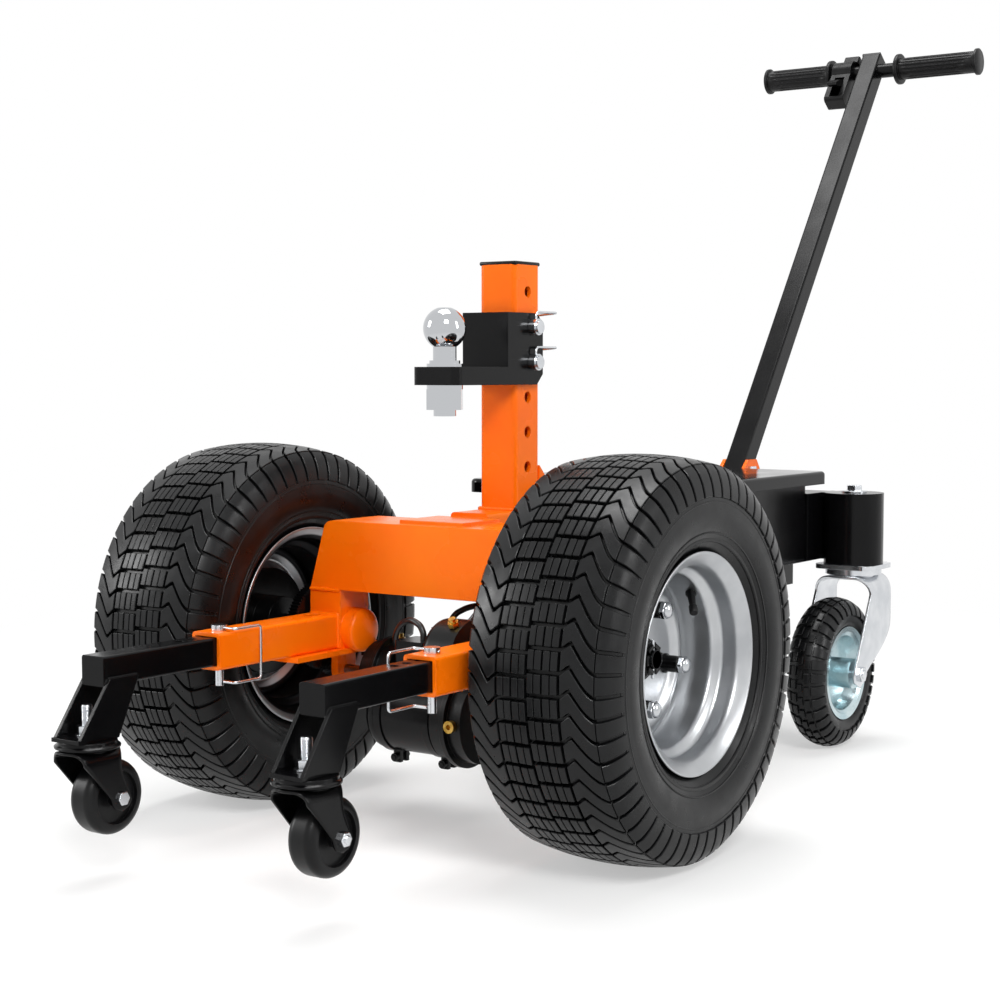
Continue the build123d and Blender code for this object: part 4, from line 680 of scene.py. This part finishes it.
rimPiece = makeRim()
sleeves, domes = makeLugNuts()
castle = makeCastleNut()
cotter = makeCotter()
valve = makeValve()
axleEnd = turned([(0.0195, 0.0100), (0.0208, 0.0100), (0.0215, 0.0092)])
for side, sign in (("right", 1), ("left", -1)):
    turn = Matrix.Rotation(0 if sign > 0 else math.pi, 4, "Z")
    place = Matrix.Translation((sign * trackX, axleY, axleZ)) @ turn
    for source, name, slotName, stands in (
            (rimPiece, "_drive_rim", "silver_rim", (side + "_rim",)),
            (sleeves, "_lug_sleeves", "black_steel", (side + "_wheel_fasteners",)),
            (domes, "_lug_domes", "chrome_ball", (side + "_wheel_fasteners",)),
            (castle, "_castle_nut", "black_steel", (side + "_wheel_fasteners",)),
            (cotter, "_cotter_pin", "zinc_steel", (side + "_wheel_fasteners",)),
            (valve, "_tyre_valve", "black_rubber", (side + "_wheel_fasteners",)),
            (axleEnd, "_axle_end", "gear_steel", ())):
        piece = copyOf(source, place)
        piece.name = side + name
        finishPiece(piece, side + "_wheel", finish[slotName], stands)
for source in (rimPiece, sleeves, domes, castle, cotter, valve, axleEnd):
    bpy.data.objects.remove(source)
print("drive rims and nuts made")


# caster forks

def pressedFork(s):
    # one pressed plate: flat crown, rounded shoulders, two cheeks that narrow to the axle
    section = []
    half = s["half"]
    bend = s["bend"]
    top = s["top"]
    low = s["axleZ"] - s["endRadius"]
    for k in range(15):
        section.append((half, low + (top - bend - low) * k / 14))
    for k in range(1, 9):
        angle = math.pi / 2 * k / 8
        section.append((half - bend + bend * math.cos(angle), top - bend + bend * math.sin(angle)))
    section.append((0.0, top))
    section = section + [(-x, z) for x, z in reversed(section[:-1])]

    def span(z, x):
        # how far the plate reaches forward and back at a height
        if z <= s["axleZ"]:
            reach = math.sqrt(max(0.0, s["endRadius"] ** 2 - (s["axleZ"] - z) ** 2))
            return s["axleY"] - reach, s["axleY"] + reach
        if z >= top - bend:
            size = abs(x) / half
            reach = s["crown"] * math.sqrt(max(0.05, 1 - 0.45 * size * size))
            low, high = s["stemY"] - reach, s["stemY"] + reach
            return low, high
        share = (z - s["axleZ"]) / (top - bend - s["axleZ"])
        early = min(1.0, share / s["backTaper"])
        ease = math.sin(early * math.pi / 2)
        reach = s["crown"] * math.sqrt(0.55)
        low = (s["axleY"] - s["endRadius"]) * (1 - share) + (s["stemY"] - reach) * share
        high = (s["axleY"] + s["endRadius"]) * (1 - ease) + (s["stemY"] + reach) * ease
        return low, high

    across = 9
    vertices = []
    faces = []
    for x, z in section:
        front, rear = span(z, x)
        for k in range(across):
            vertices.append((x, front + (rear - front) * k / (across - 1), z))
    for i in range(len(section) - 1):
        for k in range(across - 1):
            a = i * across + k
            faces.append((a, a + 1, a + across + 1, a + across))
    mesh = bpy.data.meshes.new("pressed_fork")
    mesh.from_pydata(vertices, [], faces)
    piece = bpy.data.objects.new("pressed_fork", mesh)
    bpy.context.scene.collection.objects.link(piece)
    pick(piece)
    bpy.ops.object.mode_set(mode="EDIT")
    bpy.ops.mesh.select_all(action="SELECT")
    bpy.ops.mesh.remove_doubles(threshold=0.00005)
    bpy.ops.mesh.normals_make_consistent(inside=False)
    bpy.ops.object.mode_set(mode="OBJECT")
    useModifier(piece, "SOLIDIFY", thickness=s["wall"], offset=1.0)
    useModifier(piece, "BEVEL", width=0.0008, segments=2, limit_method="ANGLE", angle_limit=math.radians(50))
    smooth(piece, 40)
    return piece


def forkBolt(s):
    # a hexagon head on one cheek and a nut on the threaded end of the other
    out = s["half"] + 0.0004
    head = hexagon(s["flats"], -out - s["headLength"], -out, s["axleY"], s["axleZ"], 0.0008)
    nut = hexagon(s["flats"], out, out + s["nutLength"], s["axleY"], s["axleZ"], 0.0008)
    washer = turned([(out - 0.0002, s["flats"] * 0.62), (out + 0.0008, s["flats"] * 0.62)], s["axleY"], s["axleZ"])
    end = turned([(-out, s["boltRadius"]), (out + s["tail"] - 0.0008, s["boltRadius"]),
                  (out + s["tail"], s["boltRadius"] * 0.8)], s["axleY"], s["axleZ"], 24)
    return joinAll([head, nut, washer, end], "fork_bolt")


rearFork = {"half": 0.0380, "bend": 0.020, "top": 0.2222, "wall": 0.0038, "axleY": rearWheelY, "axleZ": 0.100,
            "stemY": axleY + 0.720, "crown": 0.044, "backTaper": 0.62, "endRadius": 0.019, "flats": 0.0186,
            "headLength": 0.0076, "nutLength": 0.0086, "boltRadius": 0.006, "tail": 0.0106}
frontFork = {"half": 0.0195, "bend": 0.010, "top": 0.1315, "wall": 0.0028, "axleY": axleY - 0.361, "axleZ": 0.0825,
             "stemY": frontStemY, "crown": 0.0324, "backTaper": 0.9, "endRadius": 0.013, "flats": 0.0128,
             "headLength": 0.0058, "nutLength": 0.0068, "boltRadius": 0.004, "tail": 0.0088}
for settings, middle, bodyName, nodeName, slotName in (
        (rearFork, rearX, "_rear_swivel", "_rear_fork", "zinc_steel"),
        (frontFork, armX, "_front_swivel", "_front_fork", "black_steel")):
    plate = pressedFork(settings)
    bolt = forkBolt(settings)
    for side, sign in (("right", 1), ("left", -1)):
        turn = Matrix.Scale(1 if sign > 0 else -1, 4, (1, 0, 0))
        for source, ending, slotUsed in ((plate, "_plate", slotName), (bolt, "_bolt", "zinc_steel")):
            piece = copyOf(source, Matrix.Translation((sign * middle, 0, 0)) @ turn)
            piece.name = side + nodeName + ending
            if sign < 0:
                piece.data.flip_normals()
            finishPiece(piece, side + bodyName, finish[slotUsed], (side + nodeName,))
    bpy.data.objects.remove(plate)
    bpy.data.objects.remove(bolt)
print("caster forks made")


# grips, front caster studs and races

gripSettings = {"radius": 0.0166, "grooves": 18, "depth": 0.0013, "flange": 0.0235, "cap": 0.0200,
                "place": (0, axleY + 1.1466, 0.9725), "lean": -35.8,
                # each grip's two ends and its flange along the bar
                "right": (0.0460, 0.1722, 0.0490), "left": (-0.1722, -0.0620, -0.0650)}


def makeGrip(x0, x1, flangeAt):
    s = gripSettings
    steps = 30
    turns = s["grooves"] * 6
    deselectAll()
    bpy.ops.mesh.primitive_grid_add(x_subdivisions=steps, y_subdivisions=turns, size=1.0)
    body = bpy.context.object
    for vertex in body.data.vertices:
        along = vertex.co.x + 0.5
        angle = (vertex.co.y + 0.5) * 2 * math.pi
        wave = math.sin(angle * s["grooves"] / 2) ** 2
        # the grooves end in an arrow, further along at every second one
        reach = 0.40 + 0.06 * math.cos(angle * 2)
        inside = min(1.0, max(0.0, (reach - abs(along - 0.5)) / 0.03))
        radius = s["radius"] - s["depth"] * (wave > 0.55) * inside
        vertex.co = (x0 + (x1 - x0) * along, radius * math.cos(angle), radius * math.sin(angle))
    pick(body)
    bpy.ops.object.mode_set(mode="EDIT")
    bpy.ops.mesh.select_all(action="SELECT")
    bpy.ops.mesh.remove_doubles(threshold=0.00002)
    bpy.ops.mesh.normals_make_consistent(inside=False)
    bpy.ops.object.mode_set(mode="OBJECT")
    smooth(body, 50)
    sign = 1 if x1 > 0 else -1
    outer = x1 if sign > 0 else x0
    ring = turned(rounded([(flangeAt - 0.0030, 0.0120), (flangeAt - 0.0030, s["flange"]),
                           (flangeAt + 0.0030, s["flange"]), (flangeAt + 0.0030, 0.0120)], 0.0015)[2:-2])
    ends = sorted((outer, outer + sign * 0.0058))
    disc = turned([(ends[0], s["cap"] * 0.9), (ends[0] + 0.0010, s["cap"]), (ends[1] - 0.0012, s["cap"]),
                   (ends[1], s["cap"] * 0.92)])
    grip = joinAll([body, ring, disc], "handle_grip")
    grip.data.transform(Matrix.Translation(s["place"]) @ Matrix.Rotation(math.radians(s["lean"]), 4, "X"))
    return grip


for side in ("right", "left"):
    piece = makeGrip(*gripSettings[side])
    piece.name = side + "_grip"
    finishPiece(piece, "handle", finish["black_rubber"], ("handle_grips",))


casterStud = {"foot": 0.1320, "threadFrom": 0.1480, "pitch": 0.0013, "turns": 22, "top": 0.1772, "flats": 0.0188,
              "nut": (0.1474, 0.1568)}


def makeCasterStud():
    # a threaded zinc stud with its nut and washer, standing up from the bracket's foot
    s = casterStud
    thread = [(s["foot"], 0.0058)]
    for k in range(s["turns"]):
        thread.append((s["threadFrom"] + k * s["pitch"], 0.0060))
        thread.append((s["threadFrom"] + s["pitch"] / 2 + k * s["pitch"], 0.0052))
    thread.append((s["top"], 0.0050))
    stud = turned(thread, steps=24)
    nut = hexagon(s["flats"], *s["nut"], edge=0.0009)
    washer = turned([(0.1471, 0.0120), (0.1484, 0.0120)])
    whole = joinAll([stud, nut, washer], "caster_stud")
    whole.data.transform(Matrix.Rotation(-math.pi / 2, 4, "Y"))
    return whole


def makeCasterRace():
    # the pressed ball race between bracket and fork, as height and radius
    line = [(0.1320, 0.0100), (0.1320, 0.0236), (0.1332, 0.0246), (0.1350, 0.0300), (0.1358, 0.0322),
            (0.1376, 0.0324), (0.1388, 0.0310), (0.1394, 0.0296), (0.1428, 0.0290), (0.1429, 0.0100)]
    race = turned(line, steps=56)
    race.data.transform(Matrix.Rotation(-math.pi / 2, 4, "Y"))
    return race


stud = makeCasterStud()
race = makeCasterRace()
for side, sign in (("right", 1), ("left", -1)):
    place = Matrix.Translation((sign * armX, frontStemY, 0))
    for source, name, slotName in ((stud, "_caster_stud", "zinc_steel"), (race, "_caster_race", "black_steel")):
        piece = copyOf(source, place)
        piece.name = side + name
        finishPiece(piece, side + "_arm_slide", finish[slotName], (side + "_caster_stem",))
bpy.data.objects.remove(stud)
bpy.data.objects.remove(race)
print("grips and front caster studs made")


# post cap and welds

postCap = {"place": (0, postY, 0.6242), "size": (0.0506, 0.0506, 0.0046), "edge": 0.0018}


def makePostCap():
    # a moulded plug with rounded edges over the open end of the post
    deselectAll()
    bpy.ops.mesh.primitive_cube_add(size=1.0, location=postCap["place"], scale=postCap["size"])
    cap = bpy.context.object
    applyPlace(cap)
    useModifier(cap, "BEVEL", width=postCap["edge"], segments=3)
    smooth(cap, 40)
    return cap


def weld(points, radius, closed=False):
    # a bead laid in short overlapping steps along a line
    data = bpy.data.curves.new("weld", "CURVE")
    data.dimensions = "3D"
    data.bevel_depth = radius
    data.bevel_resolution = 2
    line = data.splines.new("POLY")
    path = []
    ends = list(points) + ([points[0]] if closed else [])
    for a, b in zip(ends, ends[1:]):
        start = Vector(a)
        end = Vector(b)
        count = max(2, int((end - start).length / 0.0014))
        for k in range(count):
            path.append(start.lerp(end, k / count))
    path.append(Vector(ends[-1]))
    line.points.add(len(path) - 1)
    for k, (point, place) in enumerate(zip(line.points, path)):
        point.co = (place.x, place.y, place.z, 1.0)
        point.radius = 0.82 + 0.22 * abs(math.sin(k * 1.15))
    bead = bpy.data.objects.new("weld", data)
    bpy.context.scene.collection.objects.link(bead)
    pick(bead)
    bpy.ops.object.convert(target="MESH")
    bead = bpy.context.view_layer.objects.active
    smooth(bead, 60)
    return bead


cap = makePostCap()
cap.name = "post_cap"
finishPiece(cap, "frame", finish["black_plastic"])


def ringAt(half, y, z):
    return [(-half, y - half, z), (half, y - half, z), (half, y + half, z), (-half, y + half, z)]


# where the beads run: round the post's foot, round each sleeve's root, under the beam, along each arm's bracket
welds = {"postHalf": 0.0252, "postZ": 0.3438, "sleeveX": (0.1209, 0.1601), "sleeveY": axleY - 0.0255,
         "sleeveZ": (0.190, 0.228), "legX": (0.1185, 0.1615), "legY": axleY - 0.0252, "legZ": 0.2555,
         "armX": (0.1252, 0.1558), "armY": (axleY - 0.372, axleY - 0.333), "armZ": 0.2018}
beads = [weld(ringAt(welds["postHalf"], postY, welds["postZ"]), 0.0026, True)]
for sign in (1, -1):
    x0, x1 = (sign * x for x in welds["sleeveX"])
    y = welds["sleeveY"]
    low, high = welds["sleeveZ"]
    beads.append(weld([(x0, y, low), (x0, y, high), (x1, y, high), (x1, y, low)], 0.0022))
    beads.append(weld([(sign * x, welds["legY"], welds["legZ"]) for x in welds["legX"]], 0.0022))
frameWelds = joinAll(beads, "frame_welds")
finishPiece(frameWelds, "frame", finish["orange_steel"])
for side, sign in (("right", 1), ("left", -1)):
    armBeads = []
    for edge in welds["armX"]:
        armBeads.append(weld([(sign * edge, y, welds["armZ"]) for y in welds["armY"]], 0.0016))
    armBead = joinAll(armBeads, side + "_arm_welds")
    finishPiece(armBead, side + "_arm_slide", finish["black_steel"])


bossCap = {"face": 0.1060, "radius": 0.0246, "rise": 0.0088}


def makeBossCap():
    # the domed steel cover welded over the inner end of each wheel bearing's boss
    s = bossCap
    line = [(s["face"], s["radius"]), (s["face"] - 0.0014, s["radius"])]
    for k in range(1, 8):
        angle = math.pi / 2 * k / 8
        line.append((s["face"] - 0.0014 - (s["rise"] - 0.0014) * math.sin(angle), s["radius"] * math.cos(angle)))
    return turned(line, steps=48)


dome = makeBossCap()
for side, sign in (("right", 1), ("left", -1)):
    turn = Matrix.Rotation(0 if sign > 0 else math.pi, 4, "Z")
    piece = copyOf(dome, Matrix.Translation((0, axleY, axleZ)) @ turn)
    piece.name = side + "_boss_cap"
    finishPiece(piece, "frame", finish["orange_steel"])
bpy.data.objects.remove(dome)
print("cap, welds and boss covers made")


# stage, light and camera

stageSettings = {"floor": "f6f6f5", "fadeNear": 0.45, "fadeFrom": 0.5, "fadeTo": 1.7, "worldStrength": 0.36,
                 "worldLow": "767b80", "worldHigh": "ffffff"}


def directRay(tree, path):
    # 1 for what the camera sees, straight or in metal and gloss
    either = addNode(tree, "ShaderNodeMath", {"operation": "MAXIMUM"},
                     {0: path.outputs["Is Camera Ray"], 1: path.outputs["Is Glossy Ray"]})
    anyRay = addNode(tree, "ShaderNodeMath", {"operation": "MAXIMUM"},
                     {0: either.outputs[0], 1: path.outputs["Is Transmission Ray"]})
    return anyRay.outputs[0]


def makeStage():
    deselectAll()
    bpy.ops.mesh.primitive_plane_add(size=40, location=(0, 0, 0))
    floor = bpy.context.object
    floor.name = "studio_floor"
    material, tree, shader, place = newMaterial("studioPaper", stageSettings["floor"], 0.85)
    # seen straight or in metal, the paper fades to plain white away from the object, so no horizon shows
    path = addNode(tree, "ShaderNodeLightPath")
    far = addNode(tree, "ShaderNodeVectorMath", {"operation": "LENGTH"}, {0: place})
    fade = addNode(tree, "ShaderNodeMapRange",
                   {"From Min": stageSettings["fadeFrom"], "From Max": stageSettings["fadeTo"],
                    "To Min": stageSettings["fadeNear"], "To Max": 1.0}, {"Value": far.outputs["Value"]})
    glow = addNode(tree, "ShaderNodeEmission", {"Color": toLinear("ffffff"), "Strength": 1.0})
    seen = addNode(tree, "ShaderNodeMath", {"operation": "MULTIPLY"},
                   {0: directRay(tree, path), 1: fade.outputs["Result"]})
    mix = addNode(tree, "ShaderNodeMixShader", None,
                  {0: seen.outputs[0], 1: shader.outputs[0], 2: glow.outputs[0]})
    tree.links.new(mix.outputs[0], tree.nodes["Material Output"].inputs["Surface"])
    floor.data.materials.append(material)


def addLight(name, kind, energy, place, aim, size):
    data = bpy.data.lights.new(name, kind)
    data.energy = energy
    if kind == "AREA":
        data.shape = "RECTANGLE"
        data.size = size[0]
        data.size_y = size[1]
    lamp = bpy.data.objects.new(name, data)
    bpy.context.scene.collection.objects.link(lamp)
    lamp.location = place
    lamp.rotation_euler = (Vector(aim) - Vector(place)).to_track_quat("-Z", "Y").to_euler()
    return lamp


makeStage()
world = bpy.data.worlds.new("studio")
bpy.context.scene.world = world
world.use_nodes = True
tree = world.node_tree
back = tree.nodes["Background"]
back.inputs["Strength"].default_value = stageSettings["worldStrength"]
# soft light from all round, stronger overhead than at eye level
direction = addNode(tree, "ShaderNodeTexCoord")
height = addNode(tree, "ShaderNodeSeparateXYZ", None, {0: direction.outputs["Generated"]})
ramp = addNode(tree, "ShaderNodeValToRGB", None, {"Fac": height.outputs["Z"]})
ramp.color_ramp.elements[0].position = 0.0
ramp.color_ramp.elements[0].color = toLinear(stageSettings["worldLow"])
ramp.color_ramp.elements[1].position = 0.55
ramp.color_ramp.elements[1].color = toLinear(stageSettings["worldHigh"])
tree.links.new(ramp.outputs["Color"], back.inputs["Color"])
path = addNode(tree, "ShaderNodeLightPath")
white = addNode(tree, "ShaderNodeBackground", {"Color": toLinear("ffffff"), "Strength": 1.0})
mix = addNode(tree, "ShaderNodeMixShader", None,
              {0: directRay(tree, path), 1: back.outputs[0], 2: white.outputs[0]})
tree.links.new(mix.outputs[0], tree.nodes["World Output"].inputs["Surface"])
addLight("keyLight", "AREA", 135, (2.8, -3.0, 3.2), (0, 0, 0.3), (1.4, 1.4))
addLight("topLight", "AREA", 112, (-0.4, 0.2, 4.0), (0, 0, 0.2), (2.0, 2.0))
addLight("leftLight", "AREA", 75, (-3.4, -2.6, 1.8), (0, 0, 0.3), (1.0, 1.6))
addLight("rightLight", "AREA", 30, (3.6, 0.8, 1.6), (0, 0, 0.4), (0.7, 2.0))

cameraSettings = {"place": (1.218, -1.636 + axleY, 0.502), "down": 3.96, "turn": 34.74, "lens": 67.1}
cameraData = bpy.data.cameras.new("photoCamera")
cameraData.sensor_width = 36
cameraData.lens = cameraSettings["lens"]
camera = bpy.data.objects.new("photoCamera", cameraData)
bpy.context.scene.collection.objects.link(camera)
camera.location = cameraSettings["place"]
camera.rotation_euler = (math.radians(90 - cameraSettings["down"]), 0, math.radians(cameraSettings["turn"]))
bpy.context.scene.camera = camera
bpy.context.scene.view_settings.view_transform = "Standard"
print("stage and camera set")
